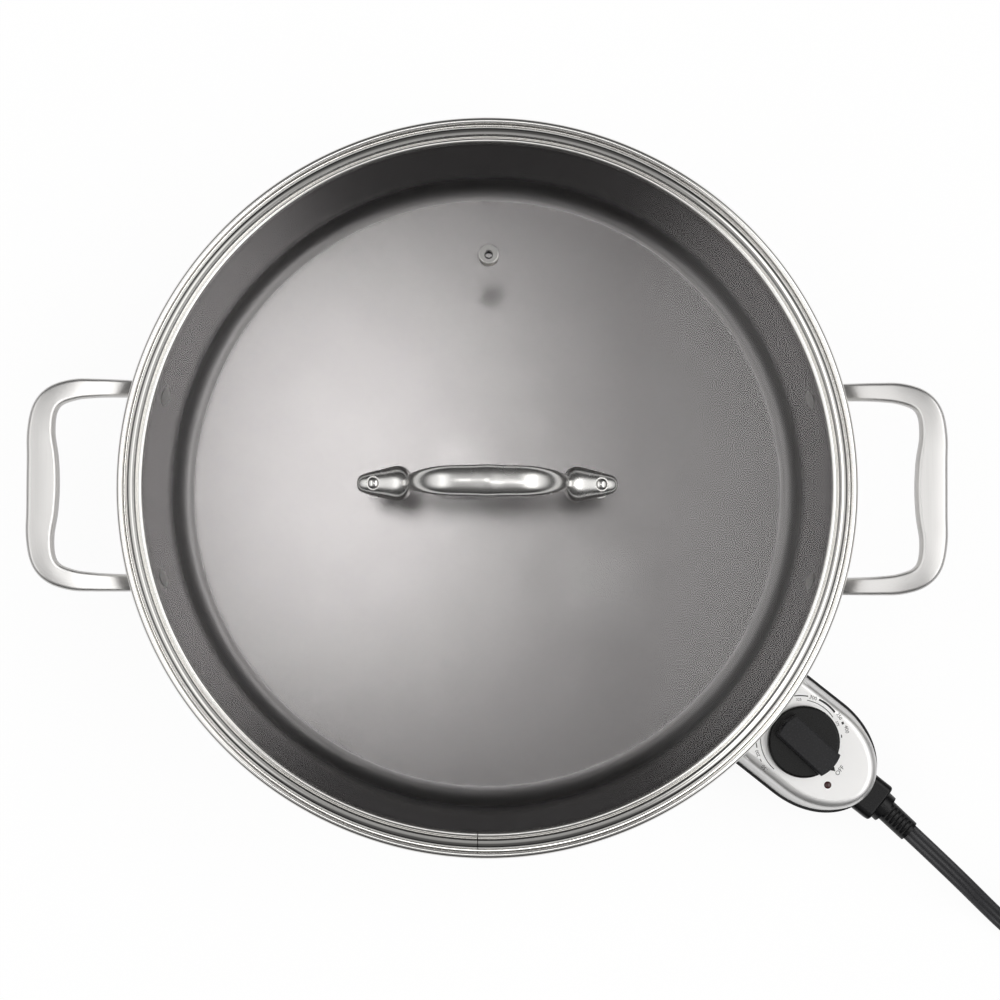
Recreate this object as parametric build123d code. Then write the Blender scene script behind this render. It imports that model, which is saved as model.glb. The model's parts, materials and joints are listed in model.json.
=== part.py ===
from build123d import *
import math
import os

# Electric skillet: a round nonstick pan with two steel loop handles, a lift-off glass lid and a
# heat control that plugs into a socket under the rim.
# Millimetres, origin on the pan's axis at table level, +X to the right handle, +Z up.
# The socket, the base and the control are drawn along +X and then turned to control_azimuth_deg.

overrun = 6.0           # how far a cutting shape passes the face that it cuts
seat_gap = 0.3          # between pieces that sit beside each other
control_azimuth_deg = -38.05

# Pan
floor_z = 42.0          # cooking surface
mouth_r = 165.3         # wall at the lid's ledge, which sets the sizes of the whole part
wall_spread = 14.3      # from there in to where wall and floor would meet sharp
wall_h = 71.5           # from the cooking surface up to the lid's ledge
rim_rise = 4.5          # above the ledge
liner_t = 2.5
shell_t = 1.0
corner_round = 8.0
lip_set = 3.6           # from the wall out to the lip's roll
lip_width = 3.4
lip_root_drop = 6.0     # from the ledge down to where the lip leaves the wall

corner_r = mouth_r - wall_spread
ledge_z = floor_z + wall_h
rim_z = ledge_z + rim_rise
lip_inner_r = mouth_r + lip_set
lip_outer_r = lip_inner_r + lip_width
wall_t = liner_t + shell_t
flare = math.atan2(mouth_r - corner_r, ledge_z - floor_z)
pan_bottom_z = floor_z - wall_t

# Side handles
handle_out = 49.1           # past the mouth
handle_half_width = 49.8
grip_drop = 6.0             # below the rim
grip_width = 15.0
grip_t = 8.5
pad_width = 19.0
pad_height = 27.0
pad_t = 3.0
pad_round = 6.0
rivet_drop = 28.5           # below the ledge
arm_root_lift = 9.5     # middle of the arm's root above the rivet
rivet_half_span = 43.3
rivet_r = 2.5
rivet_head_r = 4.5
rivet_head_h = 1.6

handle_reach = mouth_r + handle_out
grip_z = rim_z - grip_drop
rivet_z = ledge_z - rivet_drop
rivet_azimuth = math.degrees(math.asin(rivet_half_span / (corner_r + (rivet_z - floor_z) * math.tan(flare))))

# One half of a handle, from the wall to the middle of the grip: reach, half width, rise, grip
# width and grip thickness as shares, then the heading and the climb in degrees.
handle_shares = [
    (-0.04, 0.917, -0.07, 0.53, 0.76, 0, 27),
    (0.08, 0.917, 0.13, 0.53, 0.76, 0, 27),
    (0.20, 0.917, 0.33, 0.54, 0.76, 0, 26),
    (0.34, 0.915, 0.54, 0.56, 0.77, -1, 23),
    (0.47, 0.910, 0.70, 0.59, 0.79, -3, 19),
    (0.630, 0.893, 0.85, 0.65, 0.84, -12, 14),
    (0.781, 0.828, 0.94, 0.69, 0.90, -38, 8),
    (0.864, 0.700, 0.98, 0.77, 0.95, -66, 3),
    (0.890, 0.485, 1.00, 0.85, 1.00, -88, 0),
    (0.875, 0.242, 1.00, 0.96, 1.00, -90, 0),
    (0.870, 0.000, 1.00, 1.00, 1.00, -90, 0),
]
grip_corner_share = 0.28    # corner radius of the bar, as a share of its thickness

# Sole, heating element and socket
sole_set = 31.0             # inside the pan's corner
sole_t = 8.0
sole_edge = 2.0
element_set = 25.0          # inside the sole's edge
element_r = 4.0
element_drop = 1.5          # element axis below the sole's underside
element_bend_r = 15.0
element_tail = 1.0          # past the sole's edge
terminal_half_span = 12.0
terminal_r = 2.75
terminal_length = 28.0
bead_r = 5.0
bead_length = 3.0
probe_boss_depth = 36.0     # inside the sole's edge
probe_boss_tail = 2.0       # past the sole's edge
probe_boss_half_width = 6.8
probe_boss_drop = 5.0
probe_r = 2.6
probe_tip_set = 4.0         # from the boss's blind end
probe_gap = 0.3
snout_half_width = 20.0
snout_half_height = 6.5
snout_gap = 0.6
shroud_t = 2.4
shroud_set = 4.0            # past the sole's edge
shroud_depth = 28.0

sole_r = corner_r - sole_set
element_loop_r = sole_r - element_set
element_end_x = sole_r + element_tail
terminal_end_x = element_end_x + terminal_length
probe_boss_start_x = sole_r - probe_boss_depth
probe_boss_end_x = sole_r + probe_boss_tail
probe_tip_x = probe_boss_start_x + probe_tip_set
shroud_back_x = sole_r + shroud_set
shroud_mouth_x = shroud_back_x + shroud_depth
sole_bottom_z = pan_bottom_z - sole_t
plug_z = sole_bottom_z - element_drop

# Base
skirt_set = 13.0            # inside the pan's corner
skirt_t = 3.0
skirt_bottom_z = 4.5
skirt_flange_width = 12.0
skirt_flange_t = 2.5
skirt_round = 1.5
cover_plate_t = 1.2
foot_h = 6.0
foot_r = 11.0
foot_round = 1.5
foot_count = 4
foot_set = 15.0             # inside the skirt's flange
foot_recess_r = 4.6
foot_recess_h = 3.5
base_screw_r = 2.0
base_screw_head_r = 4.0
base_screw_head_h = 2.0
base_screw_grip = 14.0
standoff_r = 6.0

skirt_r = corner_r - skirt_set
skirt_flange_r = skirt_r - skirt_flange_width
foot_ring_r = skirt_flange_r - foot_set

# Lid
lid_side_gap = 0.7
dome_rise = 22.3            # from the glass's edge to the crown
glass_edge_rise = 5.2       # above the ledge
glass_t = 4.0
glass_edge_set = 3.4        # inside the pan's mouth
band_grip = 2.3             # over the glass's edge
band_t = 1.0
band_shoulder_h = 3.6
band_crest_set = 5.2        # inside the lip
band_crest_h = 7.6
band_groove_set = 0.5       # outside the glass's edge
band_groove_h = 6.2
band_lip_h = 7.0
band_hem = 0.5
vent_set = 55.7             # inside the glass's edge
vent_bore_r = 1.9
vent_neck_r = 3.0
vent_flange_r = 4.7
vent_flange_t = 0.9
vent_round = 0.4

glass_edge_r = mouth_r - glass_edge_set
crown_z = ledge_z + glass_edge_rise + dome_rise
dome_r = (glass_edge_r**2 + dome_rise**2) / (2 * dome_rise)
band_inner_r = glass_edge_r - band_grip
band_groove_r = glass_edge_r + band_groove_set
band_crest_r = lip_inner_r - band_crest_set
vent_y = glass_edge_r - vent_set

# Lid handle
boss_x = 51.4
lid_rivet_r = 1.8
lid_rivet_head_r = 2.6
lid_rivet_head_h = 1.0
lid_rivet_hole_gap = 0.2
lid_rivet_recess_gap = 0.6
gasket_t = 1.0
gasket_r = 5.0
washer_r = 6.0
washer_t = 1.0
knuckle_width = 16.2
knuckle_height = 9.0
foot_tip_reach = 7.9
foot_neck_reach = 16.8
lid_rivet_seat = 5.3
bow_half_span = 38.0
bow_root_rise = 5.0         # above the lid's crown
bow_rise = 30.5
bow_width = 14.3
bow_t = 9.4

bow_root_z = crown_z + bow_root_rise
bow_top_z = bow_root_z + bow_rise

# Lid handle foot: place from the rivet (tip positive, neck negative) as a share of that side's
# reach, then width and height as shares.
foot_shares = [
    (0.98, 0.16, 0.20),
    (0.80, 0.45, 0.38),
    (0.40, 0.60, 0.52),
    (0.00, 0.70, 0.62),
    (-0.33, 0.87, 0.82),
    (-0.65, 1.00, 1.00),
    (-0.86, 0.86, 1.02),
    (-0.98, 0.53, 0.92),
]
# Half of the bow, from its root in the foot to the top: span, rise, width and thickness as
# shares, then the climb in degrees.
bow_shares = [
    (1.02, -0.04, 0.46, 0.70, 35),
    (0.935, 0.14, 0.46, 0.66, 62),
    (0.895, 0.38, 0.52, 0.66, 78),
    (0.830, 0.64, 0.63, 0.70, 66),
    (0.690, 0.84, 0.80, 0.80, 38),
    (0.440, 0.96, 0.94, 0.95, 12),
    (0.000, 1.00, 1.00, 1.00, 0),
]

# Control case
case_set = 7.5              # outside the pan's corner
nose_set = 46.5             # from the case's back to where its nose starts to round
nose_length = 36.0
case_half_width = 27.2
case_corner = 5.0
case_bottom_drop = 17.0     # below the plug's axis
case_split_drop = 9.0
case_top_rise = 17.0
cover_t = 2.0
cover_round = 5.0
cover_draft_deg = 5.5
base_ledge = 1.3            # how far the black base stands out past the cover
base_t = 2.4
neck_tail = 7.5             # past the nose
neck_set = 25.0             # past the start of the nose
neck_half_width = 10.1
neck_half_height = 8.5
neck_round = 3.5
neck_end_round = 1.4
case_post_r = 3.4
case_post_shares = [(0.27, 0.74), (0.27, -0.74), (0.77, 0.42)]    # of the case's length and half width
case_screw_r = 1.5
case_screw_head_r = 3.0
case_screw_head_h = 1.6
case_screw_recess_gap = 0.2
case_screw_grip = 12.0

case_back_x = corner_r + case_set
nose_start_x = case_back_x + nose_set
neck_start_x = nose_start_x + neck_set
neck_end_x = nose_start_x + nose_length + neck_tail
case_bottom_z = plug_z - case_bottom_drop
case_split_z = plug_z - case_split_drop
case_top_z = plug_z + case_top_rise
case_length = nose_start_x + nose_length - case_back_x

# Snout and contacts
snout_reach = 15.5          # ahead of the case
snout_tail = 9.5            # inside the case
snout_flange_half_width = 21.5
snout_flange_half_height = 8.5
snout_flange_t = 3.0
sleeve_r = 3.7
sleeve_fit = 0.1
sleeve_front_set = 1.0
sleeve_tail = 8.0           # behind the snout
probe_tail = 9.0            # behind the snout
ground_spring_t = 0.8
ground_spring_width = 8.0
ground_spring_set = 2.5     # behind the snout
ground_spring_drop = 7.0

snout_front_x = case_back_x - snout_reach
cover_lean = (snout_flange_half_height + case_split_drop) * math.tan(math.radians(cover_draft_deg))
snout_flange_x = case_back_x + cover_t + cover_lean + seat_gap
snout_back_x = case_back_x + snout_tail
sleeve_tail_x = snout_back_x + sleeve_tail
probe_tail_x = snout_back_x + probe_tail
ground_spring_x = snout_back_x + ground_spring_set

# Thermostat
bracket_t = 1.5
bracket_half_width = 11.0
bracket_reach = 55.5        # from the case's back
block_length = 20.0
block_half_width = 8.0
block_h = 7.0
arm_t = 0.7
arm_half_width = 3.0
arm_overhang = 7.0
arm_rise = 3.2
arm_post_length = 5.0
contact_r = 1.8
contact_gap = 0.4
contact_inset = 3.0
push_pin_r = 1.3
push_pin_h = 3.4
lead_r = 1.1
lead_bend_r = 5.0

bracket_end_x = case_back_x + bracket_reach

# Dial
dial_set = 38.6             # from the case's back
dial_r = 17.6
dial_gap = 0.4
dial_skirt_h = 6.0
dial_bar_h = 10.0
dial_bar_width = 13.7
dial_bar_tip_r = 17.4       # the bar's pointing end
dial_bar_heel_r = 14.4      # its other end
dial_bar_bevel = 0.9
dial_round = 1.2
dial_tab_reach = 3.7
dial_tab_half_width = 2.3
dial_tab_t = 2.0
dial_rest_deg = -4.4        # the bar at OFF, from the control's axis
shaft_r = 3.0
shaft_fit = 0.05
shaft_in_knob = 9.0
bush_r = 5.0
bush_flange_r = 7.5
bush_flange_t = 1.5
bush_drop = 4.5
clip_r = 5.4
clip_t = 1.0
clip_groove = 0.3

dial_x = case_back_x + dial_set

# Indicator lamp
lamp_set = 22.8             # past the dial's axis
lamp_y = -9.2
lens_r = 1.8
lens_rise = 0.7
lens_flange_r = 3.0
lens_flange_t = 1.0
lamp_r = 2.3
lamp_length = 9.0

lamp_x = dial_x + lamp_set

# Strain relief, drawn along the cord, which leans a little away from the control's axis
relief_drop = 3.0           # cord axis below the plug's axis
relief_lean_deg = -4.8
relief_neck_r = 5.6
relief_flange_r = 7.5
relief_flange_t = 4.2
relief_root_r = 5.7
relief_tip_r = 5.5
relief_length = 20.2
relief_rib_count = 6
relief_rib_gap = 1.1
relief_rib_depth = 1.6
relief_rib_margin = 1.6
relief_tail = 14.0
clamp_length = 5.0
clamp_t = 1.6
clamp_set = 7.5             # ahead of the neck

relief_z = plug_z - relief_drop
clamp_x = neck_start_x - clamp_set

# Cord. The route is the distance from the strain relief along the cord's heading, and the height.
cord_r = 4.35
tie_t = 0.8
tie_gap = 0.3
cord_lie_z = cord_r + tie_t + tie_gap
cord_route = [(0, relief_z), (30.0, relief_z), (65.0, cord_lie_z), (100.0, cord_lie_z)]
coil_r = 50.5
coil_pitch = 9.2
tie_width = 8.0
tie_side_gap = 1.2
tie_round = 3.5
# The tail, from the coil to the plug: distance along and to the right, and its share of the drop
tail_route = [(0, 0), (20.0, 0), (39.0, 5.0), (56.0, 13.5)]
tail_drop_shares = [0, 0, 1, 1]

# Plug
plug_width = 26.0
plug_height = 25.0
plug_length = 36.0
plug_round = 4.0
plug_boot_r = 6.4
plug_boot_length = 18.0
blade_length = 17.0
blade_height = 6.35
blade_t = 1.5
blade_span = 12.7
blade_rise = 4.0
pin_r = 2.4
pin_length = 21.0
pin_spacing = 11.9


# Shared shapes


def spun(face):
    """Solid of revolution about Z from a face drawn in radius and height."""
    return revolve(Plane.XZ * face, Axis.Z)


def outline(points, rounds=None):
    """Closed face through points, with the corners in rounds, {index: radius}, rounded."""
    face = make_face(Polyline(*points, close=True))
    for index, radius in (rounds or {}).items():
        corner = face.vertices().sort_by_distance(points[index])[0]
        face = fillet(corner, radius)
    return face


def post(radius, low, high, hole=0):
    """Upright round post, or a ring where it has a hole."""
    ring = Circle(radius) - Circle(hole) if hole else Circle(radius)
    return Pos(0, 0, low) * extrude(ring, high - low)


def rod(radius, start, end, hole=0):
    """Round rod or tube along X."""
    return Rot(0, 90, 0) * post(radius, start, end, hole)


def slab(low, high):
    """Box between two opposite corners."""
    size = [b - a for a, b in zip(low, high)]
    return Pos(*low) * Box(*size, align=(Align.MIN, Align.MIN, Align.MIN))


def dome(radius, height):
    """Spherical cap standing on the XY plane."""
    ball = (radius**2 + height**2) / (2 * height)
    half = math.asin(radius / ball) / 2
    middle = (ball * math.sin(half), height - ball + ball * math.cos(half))
    arc = ThreePointArc((radius, 0), middle, (0, height))
    sides = Polyline((0, height), (0, 0), (radius, 0))
    return spun(make_face((sides + arc).edges()))


def fused(shapes):
    """One shape from several that meet or overlap."""
    shapes = list(shapes)
    return shapes[0].fuse(*shapes[1:]) if len(shapes) > 1 else shapes[0]


def turned_to_control(shape):
    return Rot(0, 0, control_azimuth_deg) * shape


# Pan


def wall_r(z, skin=0):
    """Radius of the flared wall at a height, a skin's thickness outside the cooking surface."""
    return corner_r + (z - floor_z) * math.tan(flare) + skin / math.cos(flare)


def cup(skin, top):
    """The pan's inside as a solid, grown by a skin, up to a height."""
    bottom = floor_z - skin
    points = [(0, bottom), (wall_r(bottom, skin), bottom), (wall_r(top, skin), top), (0, top)]
    return spun(outline(points, {1: corner_round + skin}))


def wall_plane(azimuth, z):
    """Plane on the cooking surface of the wall: z points out of the pan, x runs round it."""
    a = math.radians(azimuth)
    radius = wall_r(z)
    outward = (math.cos(a) * math.cos(flare), math.sin(a) * math.cos(flare), -math.sin(flare))
    origin = (radius * math.cos(a), radius * math.sin(a), z)
    return Plane(origin, x_dir=(-math.sin(a), math.cos(a), 0), z_dir=outward)


def handle_rivet_planes():
    for side in (0, 180):
        for azimuth in (rivet_azimuth, -rivet_azimuth):
            yield wall_plane(side + azimuth, rivet_z)


def rivet_holes():
    return [plane * post(rivet_r, -overrun, overrun + wall_t) for plane in handle_rivet_planes()]


def lip():
    """Rolled lip with the ledge that the lid sits on."""
    roll_r = (lip_outer_r - lip_inner_r) / 2
    roll_x = lip_inner_r + roll_r
    roll_z = rim_z - roll_r
    root_z = ledge_z - lip_root_drop
    low_diagonal = roll_r * math.sqrt(0.5)
    foot = (roll_x, roll_z - roll_r)
    side = (lip_outer_r, roll_z)
    under = ThreePointArc(foot, (roll_x + low_diagonal, roll_z - low_diagonal), side)
    over = ThreePointArc(side, (roll_x, rim_z), (lip_inner_r, roll_z))
    rest = Polyline(
        (lip_inner_r, roll_z),
        (lip_inner_r, ledge_z),
        (wall_r(ledge_z, liner_t), ledge_z),
        (wall_r(root_z, liner_t), root_z),
        (wall_r(root_z, wall_t), root_z),
        foot,
    )
    return spun(make_face((under + over + rest).edges()))


def pan_shell():
    """Polished outer skin with its rolled lip."""
    root_z = ledge_z - lip_root_drop
    skin = cup(wall_t, root_z) - cup(liner_t, root_z + overrun)
    return skin + lip() - rivet_holes()


def pan_liner():
    """Nonstick inner pan, bonded inside the shell."""
    return cup(liner_t, ledge_z) - cup(0, ledge_z + overrun) - rivet_holes()


def handle_section(shares, side):
    """Rounded bar section of a side handle, on the +Y side, or mirrored for the way back."""
    out, across, rise, width, thick, heading, climb = shares
    root_x = wall_r(rivet_z, wall_t) * math.cos(math.radians(rivet_azimuth))
    root_z = rivet_z + arm_root_lift
    h, c = math.radians(heading), math.radians(climb)
    origin = (
        root_x + out * (handle_reach - root_x),
        side * across * handle_half_width,
        root_z + rise * (grip_z - root_z),
    )
    along = Vector(math.cos(h) * math.cos(c), side * math.sin(h) * math.cos(c), math.sin(c)) * side
    plane = Plane(origin, x_dir=(-math.sin(h), side * math.cos(h), 0), z_dir=along)
    t = thick * grip_t
    return plane * RectangleRounded(width * grip_width, t, grip_corner_share * t)


def side_handle():
    """Right-hand loop handle with its two riveted pads."""
    there = [handle_section(row, 1) for row in handle_shares]
    back = [handle_section(row, -1) for row in reversed(handle_shares[:-1])]
    bar = loft(there + back)
    pads = []
    for azimuth in (rivet_azimuth, -rivet_azimuth):
        face = RectangleRounded(pad_width, pad_height, pad_round)
        pads.append(wall_plane(azimuth, rivet_z) * Pos(0, 0, wall_t - pad_t) * extrude(face, 2 * pad_t))
    drilled = [plane * post(rivet_r, 0, wall_t + 2 * pad_t) for plane in list(handle_rivet_planes())[:2]]
    return fused([bar] + pads) - cup(wall_t, ledge_z) - drilled


def handle_rivets():
    """One rivet through each pad: a low dome inside the pan and one on the pad."""
    out = wall_t + pad_t
    hollow = rivet_head_r**2 / (2 * wall_r(rivet_z))
    rivet = fused([
        post(rivet_r, -hollow, out),
        Pos(0, 0, -hollow) * Rot(180, 0, 0) * dome(rivet_head_r, rivet_head_h),
        Pos(0, 0, out) * dome(rivet_head_r, rivet_head_h),
    ])
    return Compound([plane * rivet for plane in handle_rivet_planes()])


# Sole, element and socket


def element_path():
    """Centreline of the open loop, whose ends run out side by side under the socket."""
    bend_y = terminal_half_span + element_bend_r
    bend_x = math.sqrt((element_loop_r + element_bend_r) ** 2 - bend_y**2)
    turn = math.atan2(bend_y, bend_x)
    meet = (element_loop_r * math.cos(turn), element_loop_r * math.sin(turn))
    middle = (math.pi / 2 + turn) / 2 - math.pi / 2
    knee = (bend_x - element_bend_r * math.cos(-middle), bend_y + element_bend_r * math.sin(middle))
    leg = (bend_x, terminal_half_span)

    def flipped(point):
        return (point[0], -point[1])

    end = (element_end_x, terminal_half_span)
    return (
        Line(end, leg)
        + ThreePointArc(leg, bend_middle(bend_x, bend_y, turn), meet)
        + ThreePointArc(meet, (-element_loop_r, 0), flipped(meet))
        + ThreePointArc(flipped(meet), flipped(bend_middle(bend_x, bend_y, turn)), flipped(leg))
        + Line(flipped(leg), flipped(end))
    )


def bend_middle(bend_x, bend_y, turn):
    """Point halfway round the element's end bend."""
    start, finish = -math.pi / 2, turn - math.pi
    a = (start + finish) / 2
    return (bend_x + element_bend_r * math.cos(a), bend_y + element_bend_r * math.sin(a))


def element_tube(radius):
    path = Pos(0, 0, plug_z) * element_path()
    section = Plane((element_end_x, terminal_half_span, plug_z), z_dir=(-1, 0, 0)) * Circle(radius)
    return sweep(section, path=path)


def foot_places():
    """Places of the feet and standoffs round the base."""
    step = 360 / foot_count
    for index in range(foot_count):
        yield Rot(0, 0, (index + 0.5) * step) * Pos(foot_ring_r, 0, 0)


def sole_plate():
    """Cast heat spreader with the element's groove, the probe's bore and the standoffs."""
    disc = chamfer(post(sole_r, sole_bottom_z, pan_bottom_z).faces().sort_by(Axis.Z)[0].edges(), sole_edge)
    boss = slab(
        (probe_boss_start_x, -probe_boss_half_width, plug_z - probe_boss_drop),
        (probe_boss_end_x, probe_boss_half_width, sole_bottom_z + sole_edge),
    )
    bore = Pos(0, 0, plug_z) * rod(probe_r + probe_gap, probe_tip_x - probe_gap, probe_boss_end_x + overrun)
    plate_z = foot_h + cover_plate_t
    standoffs = [place * post(standoff_r, plate_z, sole_bottom_z + sole_edge) for place in foot_places()]
    holes = [
        place * post(base_screw_r, plate_z - overrun, foot_recess_h + base_screw_grip + sole_edge)
        for place in foot_places()
    ]
    return fused([disc, boss] + standoffs) - element_tube(element_r) - bore - holes


def heating_element():
    return element_tube(element_r)


def at_terminals(shape):
    return Compound([Pos(0, y, plug_z) * shape for y in (terminal_half_span, -terminal_half_span)])


def element_terminals():
    pin = rod(terminal_r, element_end_x, terminal_end_x)
    pin = chamfer(pin.faces().sort_by(Axis.X)[-1].edges(), terminal_r / 4)
    return at_terminals(pin)


def terminal_beads():
    return at_terminals(rod(bead_r, element_end_x, element_end_x + bead_length, terminal_r))


def socket_shroud():
    """Box round the terminals that guides the control's snout."""
    half_w = snout_half_width + snout_gap + shroud_t
    half_h = snout_half_height + snout_gap + shroud_t
    box = slab((shroud_back_x, -half_w, plug_z - half_h), (shroud_mouth_x, half_w, pan_bottom_z))
    inside = slab(
        (shroud_back_x + shroud_t, shroud_t - half_w, plug_z + shroud_t - half_h),
        (shroud_mouth_x + overrun, half_w - shroud_t, plug_z - shroud_t + half_h),
    )
    holes = at_terminals(rod(terminal_r + seat_gap, shroud_back_x - overrun, shroud_mouth_x)).solids()
    rod_hole = Pos(0, 0, plug_z) * rod(probe_r + 2 * probe_gap, shroud_back_x - overrun, shroud_mouth_x)
    return box - inside - list(holes) - rod_hole - cup(wall_t, ledge_z)


# Base


def base_skirt():
    """Black ring that carries the pan's bottom off the table, notched for the socket."""
    ring = post(skirt_r, skirt_bottom_z, pan_bottom_z, skirt_r - skirt_t)
    ring = fillet(ring.edges().filter_by(GeomType.CIRCLE).group_by(Axis.Z)[0], skirt_round - seat_gap)
    plate_z = foot_h + cover_plate_t
    flange = post(skirt_r - skirt_t / 2, plate_z, plate_z + skirt_flange_t, skirt_flange_r)
    half_w = snout_half_width + snout_gap + shroud_t + seat_gap
    half_h = snout_half_height + snout_gap + shroud_t + seat_gap
    notch = slab(
        (shroud_back_x, -half_w, plug_z - half_h),
        (skirt_r + overrun, half_w, pan_bottom_z + overrun),
    )
    return fused([ring, flange]) - notch


def base_cover():
    plate = post(skirt_r - skirt_t - seat_gap, foot_h, foot_h + cover_plate_t)
    holes = [place * post(base_screw_r, foot_h - overrun, foot_h + overrun) for place in foot_places()]
    return plate - holes


def feet():
    pad = post(foot_r, 0, foot_h)
    pad = fillet(pad.faces().sort_by(Axis.Z)[0].edges(), foot_round)
    pad -= post(foot_recess_r, -overrun, foot_recess_h)
    pad -= post(base_screw_r, -overrun, foot_h + overrun)
    return Compound([place * pad for place in foot_places()])


def base_screws():
    """Screws up through the feet and the cover plate into the sole's standoffs."""
    head = Pos(0, 0, foot_recess_h) * Rot(180, 0, 0) * dome(base_screw_head_r, base_screw_head_h)
    screw = fused([head, post(base_screw_r, foot_recess_h, foot_recess_h + base_screw_grip)])
    return Compound([place * screw for place in foot_places()])


# Lid


def dome_z(radius):
    """Height of the glass's top at a radius."""
    return crown_z - dome_r + math.sqrt(dome_r**2 - radius**2)


def dome_arc(drop, radius):
    """Arc of the dome from the axis to a radius, a drop below the top face."""
    middle = radius / 2
    return ThreePointArc(
        (0, dome_z(0) - drop), (middle, dome_z(middle) - drop), (radius, dome_z(radius) - drop)
    )


def glass_blank():
    edge_z = dome_z(glass_edge_r)
    edges = (
        dome_arc(0, glass_edge_r)
        + Line((glass_edge_r, edge_z), (glass_edge_r, edge_z - glass_t))
        + dome_arc(glass_t, glass_edge_r)
        + Line((0, crown_z), (0, crown_z - glass_t))
    )
    return spun(make_face(edges.edges()))


def on_dome(x, y):
    """Place on the glass's top face, with z along the dome's normal."""
    radius = math.hypot(x, y)
    tilt = math.degrees(math.asin(radius / dome_r))
    azimuth = math.degrees(math.atan2(y, x))
    return Rot(0, 0, azimuth) * Pos(radius, 0, dome_z(radius)) * Rot(0, tilt, 0)


def lid_glass():
    vent = on_dome(0, vent_y) * post(vent_neck_r, -overrun - glass_t, overrun)
    hole_r = lid_rivet_r + lid_rivet_hole_gap
    rivets = [on_dome(x, 0) * post(hole_r, -overrun - glass_t, overrun) for x in (boss_x, -boss_x)]
    return glass_blank() - vent - rivets


def lid_rim_band():
    """Rolled steel band that holds the glass's edge and sits on the pan's ledge."""
    outer = lip_inner_r - lid_side_gap
    shoulder = (outer, ledge_z + band_shoulder_h)
    crest = (band_crest_r, ledge_z + band_crest_h)
    groove = (band_groove_r, ledge_z + band_groove_h)
    inner_z = dome_z(band_inner_r)
    inner_top = (band_inner_r, inner_z + (ledge_z + band_groove_h - inner_z) / 2)
    lip_top = ((band_inner_r + band_groove_r) / 2, ledge_z + band_lip_h)
    diagonal = (
        outer - (outer - band_crest_r) * (1 - math.sqrt(0.5)),
        shoulder[1] + (crest[1] - shoulder[1]) * math.sqrt(0.5),
    )
    edges = (
        Line((outer, ledge_z), shoulder)
        + ThreePointArc(shoulder, diagonal, crest)
        + Line(crest, groove)
        + ThreePointArc(groove, lip_top, inner_top)
        + Polyline(inner_top, (band_inner_r, inner_z - glass_t / 2), (band_inner_r + band_hem, ledge_z))
        + Line((band_inner_r + band_hem, ledge_z), (outer, ledge_z))
    )
    hollow_inner = glass_edge_r + band_t
    hollow_outer = outer - band_t
    roof_z = ledge_z + band_crest_h - 2 * band_t
    channel = [
        (hollow_inner, ledge_z - overrun),
        (hollow_outer, ledge_z - overrun),
        (hollow_outer, ledge_z + band_shoulder_h - band_t / 2),
        (band_crest_r, roof_z),
        (hollow_inner, ledge_z + band_groove_h - 2 * band_t),
    ]
    ring = spun(make_face(edges.edges()))
    return ring - spun(outline(channel)) - glass_blank()


def vent_grommet():
    """Steel eyelet through the glass."""
    top = post(vent_flange_r, 0, vent_flange_t)
    top = fillet(top.faces().sort_by(Axis.Z)[-1].edges(), vent_round)
    neck = post(vent_neck_r, -glass_t, 0)
    low = post(vent_flange_r, -glass_t - vent_flange_t, -glass_t)
    eyelet = fused([top, neck, low]) - post(vent_bore_r, -glass_t - overrun, overrun)
    return on_dome(0, vent_y) * eyelet - glass_blank_round_vent()


def glass_blank_round_vent():
    """The glass next to the eyelet, so that its flanges follow the curve."""
    vent = on_dome(0, vent_y) * post(vent_neck_r, -overrun - glass_t, overrun)
    return glass_blank() - vent


def handle_foot():
    """Teardrop foot, drawn at its rivet with z along the dome's normal, tip towards +X."""
    sections = []
    for place, width, height in foot_shares:
        reach = foot_tip_reach if place > 0 else foot_neck_reach
        plane = Plane((place * reach, 0, gasket_t), x_dir=(0, 1, 0), z_dir=(-1, 0, 0))
        sections.append(plane * Ellipse(width * knuckle_width / 2, height * knuckle_height))
    below = slab(
        (-foot_neck_reach - overrun, -knuckle_width, -knuckle_width),
        (foot_tip_reach + overrun, knuckle_width, gasket_t),
    )
    return loft(sections) - below


def bow_section(shares, side):
    span, rise, width, thick, climb = shares
    c = math.radians(climb)
    origin = (side * span * bow_half_span, 0, bow_root_z + rise * (bow_top_z - bow_root_z))
    along = (-math.cos(c), 0, side * math.sin(c))
    plane = Plane(origin, x_dir=(0, 1, 0), z_dir=along)
    return plane * Ellipse(width * bow_width / 2, thick * bow_t / 2)


def lid_handle():
    """Cast bow with two feet."""
    there = [bow_section(row, 1) for row in bow_shares]
    back = [bow_section(row, -1) for row in reversed(bow_shares[:-1])]
    right = on_dome(boss_x, 0) * handle_foot()
    left = Rot(0, 0, 180) * right
    hole = post(lid_rivet_r, -overrun, knuckle_height + overrun)
    recess = post(lid_rivet_head_r + lid_rivet_recess_gap, lid_rivet_seat, knuckle_height)
    cuts = [on_dome(x, 0) * cut for x in (boss_x, -boss_x) for cut in (hole, recess)]
    return fused([loft(there + back), right, left]) - cuts


def lid_handle_gaskets():
    pad = post(gasket_r, -overrun / 2, gasket_t, lid_rivet_r)
    return Compound([(on_dome(x, 0) * pad - glass_blank()).solids().sort_by(Axis.Z)[-1] for x in (boss_x, -boss_x)])


def lid_handle_rivets():
    """Rivets through the handle's feet and the glass, with a low dome at each end."""
    low = -glass_t - washer_t
    rivet = fused([
        post(lid_rivet_r, low, lid_rivet_seat),
        Pos(0, 0, lid_rivet_seat) * dome(lid_rivet_head_r, lid_rivet_head_h),
        Pos(0, 0, low) * Rot(180, 0, 0) * dome(washer_r / 2, lid_rivet_head_h),
    ])
    return Compound([on_dome(x, 0) * rivet for x in (boss_x, -boss_x)])


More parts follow.
